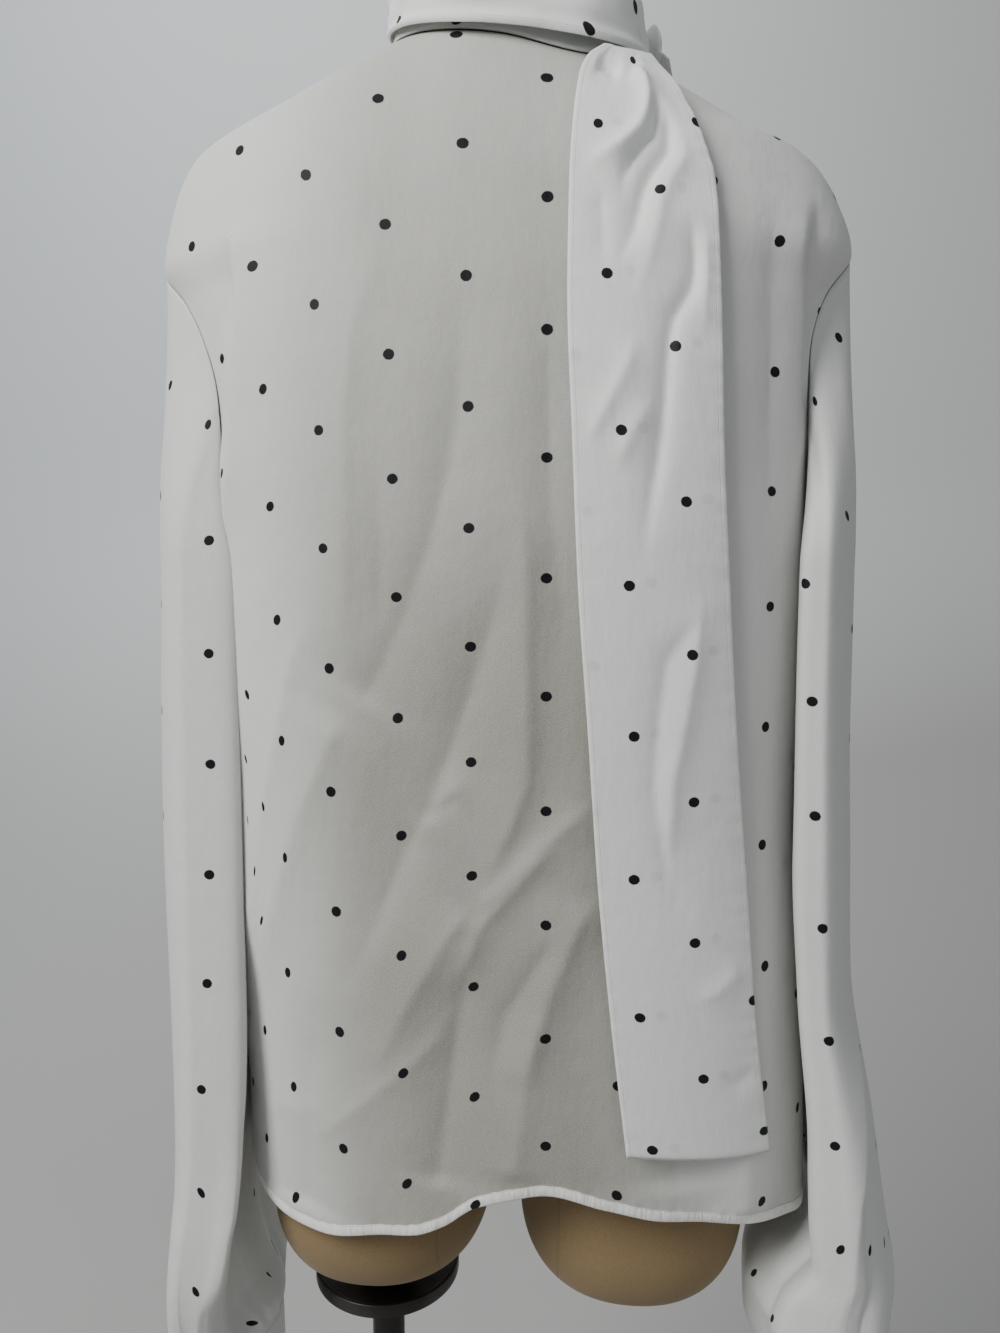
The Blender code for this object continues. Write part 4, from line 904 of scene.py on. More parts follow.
def panel_print(angle, height, x, facing):
    """Places on the print for points of a panel."""
    middle = math.pi / 2 if facing > 0 else 3 * math.pi / 2
    girth = girth_from_middle(angle, height, middle)
    along = ease(PRINT_ROWS, "printed", height)
    if facing < 0:
        return np.stack([-girth, along], axis=-1)
    flare = ease(PRINT_ROWS, "flare", height)
    tuck = np.clip((x - PRINT_TUCK_START) / PRINT_TUCK_WIDTH, 0.0, PRINT_TUCK_LIMIT) ** 3
    at_right = fade_in(-x, PRINT_RIGHT_FROM) * fade_out(height, PRINT_RIGHT_BELOW)
    at_edge = fade_in(-x, PRINT_EDGE_FROM) * fade_in(height, PRINT_EDGE_ABOVE)
    at_left = hump(x, PRINT_LEFT_PLACE, PRINT_LEFT_WIDTH)
    at_left = at_left * fade_in(height, PRINT_LEFT_ABOVE) * fade_out(height, PRINT_LEFT_BELOW)
    girth = girth - flare * (PRINT_MIDDLE_DRAW + PRINT_SIDE_DRAW * x)
    girth = girth + PRINT_TUCK * tuck * ease(PRINT_ROWS, "tuck", height)
    girth = girth + PRINT_RIGHT_DRAW * at_right + PRINT_EDGE_DRAW * at_edge + PRINT_LEFT_DRAW * at_left
    off_middle = np.abs(x - PRINT_DROP_MIDDLE) - PRINT_DROP_LEVEL
    sideways = np.clip(off_middle / PRINT_DROP_WIDTH, 0.0, 1.0)
    sideways = np.where(x < 0, sideways * PRINT_RIGHT_DROP * fade_in(-x, PRINT_RIGHT_DROP_FROM), sideways)
    along = along + PRINT_DROP * np.maximum(0.0, PRINT_DROP_START - height) * sideways
    upper = PRINT_LEFT_DROP_LOW + (1 - PRINT_LEFT_DROP_LOW) * fade_in(height, PRINT_LEFT_DROP_ABOVE)
    along = along + PRINT_LEFT_DROP * np.maximum(0.0, x - PRINT_LEFT_DROP_START) * upper
    return np.stack([girth, along], axis=-1)


def panel_points(facing, columns, creases, ripple):
    """Points, print and marks of the back (facing 1) or front (-1) panel, from the hem up to the neck."""
    start = 0.0 if facing > 0 else math.pi
    across = even_columns(columns)
    height = panel_heights(start + math.pi * across)
    first = edge_angle(height, facing, facing)
    last = math.pi - edge_angle(height, facing, -facing)
    angle = start + first + (last - first) * across
    flat = body_point(angle, height)
    x = flat[..., 0]
    span = np.abs(flat[:, -1, 0] - flat[:, 0, 0])[:, None]
    from_side = np.minimum(across, 1 - across)
    to_edge = from_side * span
    above_hem = height - height[0]
    fade = smoothstep(from_side / SIDE_SEAM_FADE) * smoothstep((height[-1] - height) / NECK_SEAM_FADE)
    lift = fade * (crease_lift(creases, x, height) + soft_ripples(x, height, ripple))
    lift = lift - SEAM_DIP * hump(to_edge, 0.0, SEAM_DIP_WIDTH)
    lift = lift + HEM_ROLL * hump(above_hem, HEM_ROLL_HEIGHT, HEM_ROLL_SPREAD)
    lift = lift + hem_wobble(x, above_hem)
    points = body_point(angle, height, lift)
    return points, panel_print(angle, height, x, facing), marks_of(to_edge, above_hem)


def hem_wobble(x, above_hem):
    """The small puckers that a rolled hem's stitches pull into the cloth just above them."""
    puckers = PUCKER_SIZE * wave_sum(HEM_PUCKERS, x) * hump(above_hem, PUCKER_HEIGHT, PUCKER_SPREAD)
    return puckers + wave_sum(HEM_SWAYS, x) * np.exp(-above_hem / HEM_SWAY_REACH)


class OBJECT_OT_blouse_panels(bpy.types.Operator):
    """Adds the back and the front of the blouse"""

    bl_idname = "object.blouse_panels"
    bl_label = "Back and front"

    def execute(self, context):
        settings = context.scene.blouse_cloth
        # The back and front carry the painted shade of the form seen through the cloth; the sleeves, cuffs
        # and tie carry none.
        material = crepe("dotted crepe", settings, settings, show_through_shade=1.0)
        for name, node, facing, columns, creases, ripple, flat in (
            ("back_cloth", "back_panel", 1, BACK_COLUMNS, BACK_CREASES, 0.0010, (0.50, 0.72)),
            ("front_cloth", "front_panel", -1, FRONT_COLUMNS, FRONT_CREASES, 0.0014, (0.54, 0.72)),
        ):
            cloth = panel_points(facing, columns, creases, ripple)
            piece = sew(name, cloth, node, "dotted_crepe", material, settings.thickness)
        return {"FINISHED"}


# ---------------------------------------------------------------- sleeves and cuffs

SLEEVE_COLUMNS = 168
SLEEVE_ROWS = 150
CAP_ROWS = 40
LEFT_INNER_CORNER = 7.0
RIGHT_BACK_CORNER = 3.6
SLEEVE_OUTER_CORNER = 2.15
TUCK_START = 0.595
TUCK_END = 0.660
LEFT_TUCK = 0.019
RIGHT_TUCK = 0.008
FRONT_TUCK_LOW = -0.25
FRONT_TUCK_HIGH = 0.4
RIGHT_LEAN = 0.25
CORNER_FADE_START = 0.630
CORNER_FADE_END = 0.700
LEAN_LIMIT = 0.014
RUFFLE_COUNT = 6
PLEAT_SIZE = 0.0016
PLEAT_RISE = 0.008
PLEAT_REACH = 0.034
SLEEVE_ROW_EVENNESS = 0.55
SLEEVE_RIPPLE = 0.0006
SLEEVE_DIP_SHARE = 0.7
ARMHOLE_FADE = 0.03
CUFF_SEAM_FADE = (CUFF_TOP, 0.006)
CUFF_COLUMNS = 120
CUFF_RISES = (0.0, 0.03, 0.08, 0.14, 0.3, 0.5, 0.7, 0.86, 0.94, 0.985, 1.0)
CUFF_ROUNDING = 0.0010
CUFF_ROUNDING_SHARE = 0.02
CUFF_PRINT_RADIUS = 0.0368


def armhole_point(turn, side):
    """Points of the armhole seam: turn runs from the top over the back, the underarm and the front."""
    height = ARMHOLE_MIDDLE + ARMHOLE_HALF * np.cos(turn)
    facing = np.where(np.sin(turn) >= 0, 1, -1)
    behind = edge_angle(height, 1, side)
    before = edge_angle(height, -1, side)
    angle = np.where(facing > 0, behind, -before)
    if side < 0:
        angle = math.pi - angle
    return body_point(angle, height)


def gathers(turn, height, table):
    """Fine uneven pleats that the cuff's seam gathers in, fading up the sleeve."""
    big = ease(table, "ruffle", height) * np.cos(RUFFLE_COUNT * turn)
    above = height - CUFF_TOP
    rise = smoothstep(above / PLEAT_RISE) * np.exp(-above / PLEAT_REACH)
    return big + PLEAT_SIZE * wave_sum(CUFF_PLEATS, turn) * rise


def sleeve_point(table, side, turn, height):
    """Points of a sleeve's hanging part: turn 0 is its outer side, a quarter turn its back."""
    inner = ease(table, "inner", height)
    outer = ease(table, "outer", height)
    back = ease(table, "back", height)
    front = ease(table, "front", height)
    wave = gathers(turn, height, table)
    above_hem = smoothstep((height - TUCK_START) / (TUCK_END - TUCK_START))
    inward = np.clip(-np.cos(turn), 0.0, 1.0)
    backward = np.clip(np.sin(turn), 0.0, 1.0)
    if side > 0:
        corner = np.where(inward * backward > 0, LEFT_INNER_CORNER, SLEEVE_OUTER_CORNER)
    else:
        corner = np.where(backward > 0, RIGHT_BACK_CORNER, SLEEVE_OUTER_CORNER)
    squared = smoothstep((height - CORNER_FADE_START) / (CORNER_FADE_END - CORNER_FADE_START))
    x, y = oval(turn, (outer - inner) / 2 + wave, (back + front) / 2 + wave,
                ROUND + (corner - ROUND) * squared)
    if side < 0:
        y = y + RIGHT_LEAN * np.clip(x, -LEAN_LIMIT, LEAN_LIMIT) * backward
    tuck = LEFT_TUCK if side > 0 else RIGHT_TUCK
    higher = smoothstep((height - TUCK_END) / (BODY_SECTIONS[1].height - TUCK_END))
    in_front = FRONT_TUCK_LOW + (FRONT_TUCK_HIGH - FRONT_TUCK_LOW) * higher
    tucked = tuck * above_hem * np.sqrt(inward) * (in_front + (1 - in_front) * backward)
    distance = (outer + inner) / 2 + x - ease(table, "bend", height) * y * y - tucked
    return np.stack([side * distance, y + (back - front) / 2, height + 0 * y], axis=-1)


def keep_off_body(points, clearance):
    """Moves sleeve points out of the body's section until they clear it; below the hem they stay."""
    x, y, height = points[..., 0], points[..., 1], points[..., 2]
    sway = ease(BODY_SECTIONS, "sway", height)
    wanted = 1 + clearance / ease(BODY_SECTIONS, "half_width", height)
    reach = body_reach(x, y, height)
    scale = np.where((reach >= wanted) | (height < BODY_SECTIONS[0].height), 1.0, wanted / reach)
    return np.stack([sway + (x - sway) * scale, y * scale, height], axis=-1)


def outward(points):
    """Unit normals of a closed lattice of points, away from its middle line."""
    across = np.roll(points, -1, axis=1) - np.roll(points, 1, axis=1)
    along = np.gradient(points, axis=0)
    normal = np.cross(across, along)
    normal /= np.maximum(np.linalg.norm(normal, axis=-1, keepdims=True), 1e-12)
    centre = points.mean(axis=1, keepdims=True)
    facing = np.sign((normal * (points - centre)).sum(axis=-1).mean())
    return normal * facing


def sleeve_points(table, side, creases):
    """Points, print and marks of a sleeve, from the cuff seam up to the armhole seam.

    The lattice starts and ends at the sleeve's inner side. Girths are measured from the middle of its back.
    """
    turn = np.linspace(-math.pi, math.pi, SLEEVE_COLUMNS, endpoint=False)
    low, high = table[0].height, table[-1].height
    share = np.linspace(0, 1, SLEEVE_ROWS + 1)
    heights = low + (high - low) * (SLEEVE_ROW_EVENNESS * share + (1 - SLEEVE_ROW_EVENNESS) * share**2)
    grid_turn, grid_height = np.meshgrid(turn, heights)
    rows = keep_off_body(sleeve_point(table, side, grid_turn, grid_height), SLEEVE_CLEARANCE)
    seam = armhole_point(turn, side)
    base = rows[-1]
    cap = []
    for step in range(1, CAP_ROWS):
        share = step / CAP_ROWS
        spread = smoothstep(share) ** SLEEVE_CAP_SWING
        points = base + (seam - base) * np.array([spread, spread, share])
        clearance = SLEEVE_CLEARANCE * (1 - share) + SEAM_GAP * 2
        cap.append(keep_off_body(points, clearance))
    away = cap[-1] - seam
    away /= np.linalg.norm(away, axis=-1, keepdims=True)
    away = away + np.array([side * SLEEVE_SEAM_OUTWARD, 0.0, 0.0])
    cap.append(seam + SEAM_GAP * away / np.linalg.norm(away, axis=-1, keepdims=True))
    points = np.concatenate([rows, np.array(cap)])
    rise = np.concatenate([[np.zeros(SLEEVE_COLUMNS)], np.linalg.norm(np.diff(points, axis=0), axis=-1)])
    to_seam = np.cumsum(rise[::-1], axis=0)[::-1]
    to_seam = np.concatenate([to_seam[1:], np.zeros((1, SLEEVE_COLUMNS))])
    around = np.linalg.norm(np.diff(widened(points), axis=1), axis=-1)
    around = np.concatenate([np.zeros((len(points), 1)), np.cumsum(around, axis=1)], axis=1)
    middle_of_back = 3 * SLEEVE_COLUMNS // 4
    around = around - around[:, middle_of_back][:, None]
    girth = around[:, :-1]
    height = points[..., 2]
    lift = crease_lift(creases, girth, height) + soft_ripples(girth, height, SLEEVE_RIPPLE)
    fade = smoothstep(to_seam / ARMHOLE_FADE) * fade_in(height, CUFF_SEAM_FADE)
    lift = lift * fade - SEAM_DIP * SLEEVE_DIP_SHARE * hump(to_seam, 0.0, SEAM_DIP_WIDTH)
    points = points + outward(points) * lift[..., None]
    print_map = sleeve_print(around, widened(points[..., 2]), side)
    marks = marks_of(to_seam)
    if side < 0:
        points = reversed_ring(points)
        print_map = print_map[:, ::-1]
        marks = {label: reversed_ring(values) for label, values in marks.items()}
    return points, print_map, marks


def sleeve_print(around, height, side):
    """Places on the print for a sleeve, whose column of dots down the back is the print's first one."""
    rows = LEFT_PRINT if side > 0 else RIGHT_PRINT
    inward = around - ease(rows, "column", height)
    flare = np.clip((SLEEVE_PRINT_START - height) / SLEEVE_PRINT_RANGE, 0.0, 1.0)
    along = ease(rows, "printed", height) + SLEEVE_PRINT_SHEAR * flare * inward
    inward = np.where(inward < 0, inward * (1 + SLEEVE_PRINT_WIDEN * flare), inward)
    gathered = SLEEVE_PRINT_GATHER * fade_in(-inward, SLEEVE_PRINT_GATHER_FROM)
    inward = inward + gathered * (1.0 if side > 0 else 1.0 - flare)
    return np.stack([-side * inward - PRINT_SHIFT[0], along - PRINT_SHIFT[1]], axis=-1)


def cuff_points(table, side):
    """Points, print and marks of a plain cuff, from its lower edge up to the sleeve seam."""
    turn = ring_angles(CUFF_COLUMNS)
    centre = side * (table[0].inner + table[0].outer) / 2
    grid_turn, rise = np.meshgrid(turn, CUFF_RISES)
    height = CUFF_TOP - SEAM_GAP - CUFF_DEPTH * (1 - rise)
    rounding = np.exp(-rise / CUFF_ROUNDING_SHARE) + np.exp(-(1 - rise) / CUFF_ROUNDING_SHARE)
    flare = CUFF_FLARE * (1 - rise) - CUFF_ROUNDING * rounding
    x, y = oval(grid_turn, CUFF_HALF_WIDTH + flare, CUFF_HALF_LENGTH + flare, ROUND)
    points = np.stack([centre + x, y + CUFF_FORWARD, height], axis=-1)
    return points, ring_print(turn, CUFF_PRINT_RADIUS, height), marks_of(hem=height - height[0])


class OBJECT_OT_blouse_sleeves(bpy.types.Operator):
    """Adds both sleeves with their gathers, and their cuffs"""

    bl_idname = "object.blouse_sleeves"
    bl_label = "Sleeves and cuffs"

    def execute(self, context):
        settings = context.scene.blouse_cloth
        sleeve_crepe = crepe("sleeve crepe", settings, settings, show_through_shade=0.0)
        cuff_crepe = crepe("cuff crepe", settings, settings, show_through_shade=0.0)
        for name, table, side, creases in (
            ("left", LEFT_SLEEVE, 1, LEFT_SLEEVE_CREASES),
            ("right", RIGHT_SLEEVE, -1, RIGHT_SLEEVE_CREASES),
        ):
            cloth = sleeve_points(table, side, creases)
            piece = sew(f"{name}_sleeve_cloth", cloth, f"{name}_sleeve", "dotted_crepe", sleeve_crepe,
                        settings.thickness, closed=True)
            piece = sew(f"{name}_cuff_cloth", cuff_points(table, side), f"{name}_cuff", "dotted_crepe",
                        cuff_crepe, 2 * settings.thickness, closed=True)
        return {"FINISHED"}


# ---------------------------------------------------------------- collar and tie

BAND_COLUMNS = 144
BAND_ROWS = 19
BAND_WALL = 0.0010
BAND_PRINT_RADIUS = 0.066
WRAP_COLUMNS = 220
WRAP_ROWS = 34
WRAP_FLATNESS = 10
WRAP_PRINT_WIDTH = 0.060
# The rolled lower edge of the turn, and the trough above it: height, share of the way up and spread.
WRAP_ROLL = (0.0010, 0.045, 0.04)
WRAP_TROUGH = (0.0007, 0.14, 0.05)
TAIL_ROWS = 200
TAIL_COLUMNS = 58
TAIL_ROW_DRIFT = 0.035
TAIL_COLUMN_DRIFT = 0.10
TIE_WIDTH = 0.083
TIE_CREASE_SHARE = 0.95
TIE_EDGE_CREASE_SHARE = 0.15
TIE_EDGE_HOLD = 0.012
TIE_EDGE_ROUNDING = 0.0022
TIE_LEAST_LIFT = 0.0015
TIE_SWAY = 0.0005
PUCKER_REACH = 0.006
PUCKER_LEFT_SHARE = 0.45
MELT_DISTANCE = 0.00002
KNOT_FOLD = 0.18
KNOT_FOLD_TURNS = 5.5
KNOT_FOLD_SLANT = 3.2
KNOT_PRINT_SHIFT = (0.30, -1.36)


def band_points():
    """Points, print and marks of the sewn collar band, a short tube standing on the neck seam."""
    angle = ring_angles(BAND_COLUMNS)
    bearing, rise = np.meshgrid(angle, np.linspace(0, 1, BAND_ROWS))
    foot = body_point(bearing, ease(NECK, "height", np.degrees(bearing) % 360))
    foot[..., 2] += BAND_SEAM_RISE
    x, y = oval(bearing, BAND_TOP_HALF_WIDTH, BAND_TOP_HALF_LENGTH, ROUND)
    top = np.stack([x, y, np.full_like(x, BAND_TOP)], axis=-1)
    inward = np.sin(math.pi / 2 * rise)
    points = foot + (top - foot) * np.stack([inward, inward, rise], axis=-1)
    height = points[..., 2]
    return points, ring_print(angle, BAND_PRINT_RADIUS, height), marks_of(height - height[:1])


def wrap_points():
    """Points, print and marks of the tie's turn round the collar: a flattened tube with a rolled edge."""
    even = 0.5 - 0.5 * np.cos(math.pi * np.linspace(0, 1, WRAP_ROWS))
    rise = np.concatenate([even, even[::-1][1:-1]])
    outer = np.concatenate([np.ones(WRAP_ROWS), np.zeros(WRAP_ROWS - 2)])
    angle = ring_angles(WRAP_COLUMNS)
    bearing, rise = np.meshgrid(angle, rise)
    outer = outer[:, None] + 0 * rise
    degrees = np.degrees(bearing)
    low = ease(WRAP, "low", degrees)
    up = (BAND_TOP + WRAP_TOP_ABOVE_BAND - low) * rise
    swell = np.sin(math.pi * rise)
    radius = ease(WRAP, "radius", degrees) - ease(WRAP, "lean", degrees) * rise + WRAP_SWELL * swell
    roundness = np.sqrt(np.clip(1 - (2 * rise - 1) ** WRAP_FLATNESS, 0, 1))
    roll = WRAP_ROLL[0] * hump(rise, *WRAP_ROLL[1:]) - WRAP_TROUGH[0] * hump(rise, *WRAP_TROUGH[1:])
    radius = radius - TIE_THICKNESS / 2 + (outer - 0.5) * TIE_THICKNESS * roundness
    radius = radius + np.where(outer > 0.5, roll, 0.0) + wave_sum(WRAP_FOLDS, bearing, rise) * swell
    points = np.stack([radius * np.cos(bearing), radius * np.sin(bearing), low + up], axis=-1)
    across = np.append(rise[:, 0], 0.0) * WRAP_PRINT_WIDTH
    around = np.append(angle, 2 * math.pi) * WRAP_PRINT_RADIUS
    across, around = np.meshgrid(across, around, indexing="ij")
    across = across + WRAP_PRINT_SKEW * around
    print_map = np.stack([across, around], axis=-1) + WRAP_PRINT_SHIFT
    return points, print_map, marks_of(up)


def tail_points(table, side, creases):
    """Points, print and marks of a hanging end of the tie: a flattened tube with rounded edges.

    The outer face comes first, from the wearer's left edge to the right one, and the inner face runs back.
    """
    low = table[-1].height
    high = table[0].height
    to_end = np.linspace(0, 1, TAIL_ROWS + 1)
    heights = low + (high - low) * (to_end - TAIL_ROW_DRIFT * np.sin(2 * math.pi * to_end))
    even = np.linspace(0, 1, TAIL_COLUMNS + 1)
    shares = even - TAIL_COLUMN_DRIFT * np.sin(2 * math.pi * even)
    loop = np.concatenate([shares, shares[::-1][1:-1]])
    outer = np.concatenate([np.ones(TAIL_COLUMNS + 1), np.zeros(TAIL_COLUMNS - 1)])
    outer[0] = outer[TAIL_COLUMNS] = 0.5
    across, height = np.meshgrid(loop, heights)
    left = ease(table, "left", height)
    right = ease(table, "right", height)
    from_edge = np.minimum(across, 1 - across) * np.abs(right - left)
    held = TIE_EDGE_CREASE_SHARE + (1 - TIE_EDGE_CREASE_SHARE) * smoothstep(from_edge / TIE_EDGE_HOLD)
    folds = TIE_CREASE_SHARE * crease_lift(creases, across * TIE_WIDTH, height) * held
    pucker = wave_sum(TIE_PUCKERS, across, height) * np.exp(-from_edge / PUCKER_REACH)
    pucker = pucker * np.where(across > 0.5, 1.0, PUCKER_LEFT_SHARE)
    right_sway = wave_sum(TIE_RIGHT_SWAY, across, height) * across
    left_sway = wave_sum(TIE_LEFT_SWAY, across, height) * (1 - across)
    rounded = round_off(from_edge / TIE_EDGE_ROUNDING) * round_off((height - low) / TIE_EDGE_ROUNDING)
    lift = ease(table, "lift", height) + TIE_THICKNESS / 2
    lift = np.maximum(lift + folds + pucker + TIE_SWAY * (right_sway + left_sway), TIE_LEAST_LIFT)
    lift = lift + (outer - 0.5) * TIE_THICKNESS * rounded
    slant = ease(table, "slant", height) * across
    points = stand_off(left + (right - left) * across, height - slant, side, lift)
    column, row = np.meshgrid(np.append(loop * TIE_WIDTH, 0.0), heights)
    print_map = np.stack([-column - ease(TIE_DRIFT, "drift", row), row], axis=-1)
    marks = marks_of(from_edge)
    if side < 0:
        points = reversed_ring(points)
        print_map = print_map[:, ::-1]
        marks = {label: reversed_ring(values) for label, values in marks.items()}
    return points, print_map, marks


def close_ends(piece, melt=0.0):
    """Caps a tube's open ends, after joining the points that are nearer than melt."""
    shape = bmesh.new()
    shape.from_mesh(piece.data)
    if melt:
        bmesh.ops.remove_doubles(shape, verts=shape.verts, dist=melt)
    open_edges = [edge for edge in shape.edges if edge.is_boundary]
    if open_edges:
        bmesh.ops.holes_fill(shape, edges=open_edges, sides=0)
    shape.to_mesh(piece.data)
    shape.free()
    piece.data.shade_smooth()
    return piece


def knot_piece(context):
    """The flat lobe of folded cloth that bears on the turn where the tie's two ends cross."""
    bpy.ops.object.select_all(action="DESELECT")
    bpy.ops.mesh.primitive_uv_sphere_add(segments=72, ring_count=40, radius=1.0)
    knot = context.object
    knot.name = "tie_knot_cloth"
    knot.data.name = "tie_knot_cloth"
    knot.data.uv_layers[0].name = "Print"
    for vertex in knot.data.vertices:
        out, turn, up = vertex.co
        fold = KNOT_FOLD * math.sin(KNOT_FOLD_TURNS * turn + KNOT_FOLD_SLANT * up) * max(0.0, out)
        bearing = KNOT_BEARING + KNOT_HALF_SPREAD * turn
        rise = KNOT_HALF_HEIGHT * up
        radius = float(ease(WRAP, "radius", bearing)) + KNOT_GAP + KNOT_HALF_DEPTH * (1 + out + fold)
        radius -= KNOT_LEAN * max(0.0, rise)
        place = math.radians(bearing)
        vertex.co = (radius * math.cos(place), radius * math.sin(place), KNOT_HEIGHT + rise)
    knot.data.shade_smooth()
    for loop in knot.data.loops:
        place = knot.data.vertices[loop.vertex_index].co
        mapped = (place.y + KNOT_PRINT_SHIFT[0], place.z + KNOT_PRINT_SHIFT[1])
        knot.data.uv_layers["Print"].data[loop.index].uv = mapped
    for label in ("hem", "edge"):
        attribute = knot.data.attributes.new(label, "FLOAT", "POINT")
        attribute.data.foreach_set("value", [FAR] * len(knot.data.vertices))
    return knot


class OBJECT_OT_blouse_tie(bpy.types.Operator):
    """Adds the collar band and the tie: its turn round the collar, its knot and its two hanging ends"""

    bl_idname = "object.blouse_tie"
    bl_label = "Collar and tie"

    def execute(self, context):
        cloth = context.scene.blouse_cloth
        tie = context.scene.blouse_tie
        plain = crepe("collar crepe", cloth, cloth, show_through_shade=0.0)
        doubled = crepe("tie crepe", cloth, tie, show_through_shade=0.0)
        band = sew(
            "collar_band_cloth", band_points(), "neck_band", "dotted_crepe", plain, BAND_WALL, closed=True)
        wrap = sew(
            "tie_turn_cloth", wrap_points(), "neck_wrap", "tie_crepe", doubled, closed=True, ring=True)
        for name, node, table, side, creases, length in (
            ("tie_back_end", "tie_back_tail", BACK_TAIL, 1, TAIL_CREASES, 0.61),
            ("tie_front_end", "tie_front_tail", FRONT_TAIL, -1, FRONT_TAIL_CREASES, 0.60),
        ):
            end = sew(name, tail_points(table, side, creases), node, "tie_crepe", doubled, closed=True)
            close_ends(end, MELT_DISTANCE)
        knot = knot_piece(context)
        dress(knot, "tie_knot", doubled)
        return {"FINISHED"}


# ---------------------------------------------------------------- dress form and stand

TRUNK_COLUMNS = 144
TRUNK_ROWS = 150
NECK_END_DROPS = (0.0015, 0.0004, 0.0)
STUMP_COLUMNS = 160
STUMP_END_ROWS = 46
STUMP_SIDE_ROWS = 26
STUMP_END_DROP = 0.30
STUMP_SIDE_DROP = 0.68
DISC_SIDES = 144
POLE_SIDES = 96
FLAT_CAP = 0.9
BEVEL_SEGMENTS = 3
BEVEL_ANGLE = 40
SMOOTH_ANGLE = 35
FLANGE_ROUNDING_SHARE = 0.6
POLE_ROUNDING_SHARE = 0.8
BASE_RIM_RADIUS = 0.150
BASE_RIM_RISE = 0.0012
BASE_STEP_WIDTH = 0.010
BASE_STEP_RISE = 0.0008


def add_loft(name, points):
    """A closed shape through rings of points, lowest first, with a cap at each end."""
    rows, columns = points.shape[:2]
    return close_ends(add_lattice(name, points, np.zeros((rows, columns + 1, 2)), closed=True))


def trunk_points():
    """Rings of the form's trunk and neck."""
    low, shoulder, high = (FORM_SECTIONS[i].height for i in (0, -2, -1))
    neck_end = [high - drop for drop in NECK_END_DROPS]
    heights = np.concatenate([np.linspace(low, shoulder, TRUNK_ROWS), neck_end])
    bearing, height = np.meshgrid(ring_angles(TRUNK_COLUMNS), heights)
    half_width, back, front, squareness = (
        ease(FORM_SECTIONS, column, height) for column in ("half_width", "back", "front", "squareness"))
    x, y = oval(bearing, half_width, np.where(np.sin(bearing) >= 0, back, front), squareness)
    return np.stack([x, y, height], axis=-1)


def stump_points(side):
    """Rings of a rounded thigh stump, from its end up into the trunk."""
    turn = np.linspace(0, math.pi / 2, STUMP_END_ROWS)
    end = 1 - (1 - np.cos(turn)) * STUMP_END_DROP
    drop = np.concatenate([end, np.linspace(STUMP_SIDE_DROP, 0, STUMP_SIDE_ROWS)])
    bearing, drop = np.meshgrid(ring_angles(STUMP_COLUMNS), drop)
    height = STUMP_TOP + (STUMP_BOTTOM - STUMP_TOP) * drop
    swell = STUMP_END_SHARE + (1 - STUMP_END_SHARE) * round_off((height - STUMP_BOTTOM) / STUMP_ROUNDING)
    inset = STUMP_TOP_INSET * smoothstep((height - STUMP_INSET_START) / (STUMP_TOP - STUMP_INSET_START))
    half_width = (STUMP_HALF_WIDTH - inset) * swell
    half_length = (STUMP_HALF_LENGTH - inset) * swell
    x, y = oval(bearing, half_width, half_length, STUMP_SQUARENESS)
    return np.stack([side * STUMP_SPACING + x, y, height], axis=-1)


class OBJECT_OT_blouse_form(bpy.types.Operator):
    """Adds the dress form: its trunk and neck, and its two thigh stumps"""

    bl_idname = "object.blouse_form"
    bl_label = "Dress form"

    def execute(self, context):
        settings = context.scene.blouse_stand
        cover = linen("tan linen cover", settings)
        trunk = add_loft("form_trunk", trunk_points())
        dress(trunk, "form_torso", cover)
        for side, name in ((1, "left"), (-1, "right")):
            stump = add_loft(f"form_{name}_stump", stump_points(side))
            dress(stump, "form_torso", cover)
        return {"FINISHED"}


def select_faces(shape, keep):
    """Selects the faces that keep accepts, and nothing else."""
    for item in (*shape.verts, *shape.edges, *shape.faces):
        item.select_set(False)
    for face in shape.faces:
        if keep(face):
            face.select_set(True)
    shape.select_flush_mode()


def add_cylinder(context, name, sides, radius, low, high):
    """An upright cylinder on the stand's axis."""
    bpy.ops.object.select_all(action="DESELECT")
    middle = (POLE_X, 0.0, (low + high) / 2)
    bpy.ops.mesh.primitive_cylinder_add(vertices=sides, radius=radius, depth=high - low, location=middle)
    made = context.object
    made.name = name
    made.data.name = name
    bpy.ops.object.transform_apply(location=True, rotation=True, scale=True)
    return made


def turned_disc(context, name, radius, thickness, top, steps):
    """A disc whose faces are inset and drawn up or down in steps of (side, radius, rise)."""
    disc = add_cylinder(context, name, DISC_SIDES, radius, top - thickness, top)
    bpy.ops.object.mode_set(mode="EDIT")
    bpy.ops.mesh.select_mode(type="FACE")
    reach = {1: radius, -1: radius}
    for side, inner, rise in steps:
        shape = bmesh.from_edit_mesh(disc.data)
        caps = [face for face in shape.faces if len(face.verts) > 4 and face.normal.z * side > FLAT_CAP]
        select_faces(shape, lambda face: face in caps)
        bmesh.update_edit_mesh(disc.data)
        if inner < reach[side]:
            bpy.ops.mesh.inset(thickness=reach[side] - inner, depth=0.0)
            reach[side] = inner
        if rise:
            bpy.ops.mesh.extrude_region_move(TRANSFORM_OT_translate={"value": (0.0, 0.0, rise)})
    bpy.ops.object.mode_set(mode="OBJECT")
    return disc


def round_edges(piece, width):
    """Rounds a metal piece's sharp edges and shades it smooth."""
    bevel = piece.modifiers.new("Edge rounding", "BEVEL")
    bevel.width = width
    bevel.segments = BEVEL_SEGMENTS
    bevel.limit_method = "ANGLE"
    bevel.angle_limit = math.radians(BEVEL_ANGLE)
    bpy.context.view_layer.objects.active = piece
    bpy.ops.object.modifier_apply(modifier=bevel.name)
    bpy.ops.object.select_all(action="DESELECT")
    piece.select_set(True)
    bpy.ops.object.shade_smooth_by_angle(angle=math.radians(SMOOTH_ANGLE))


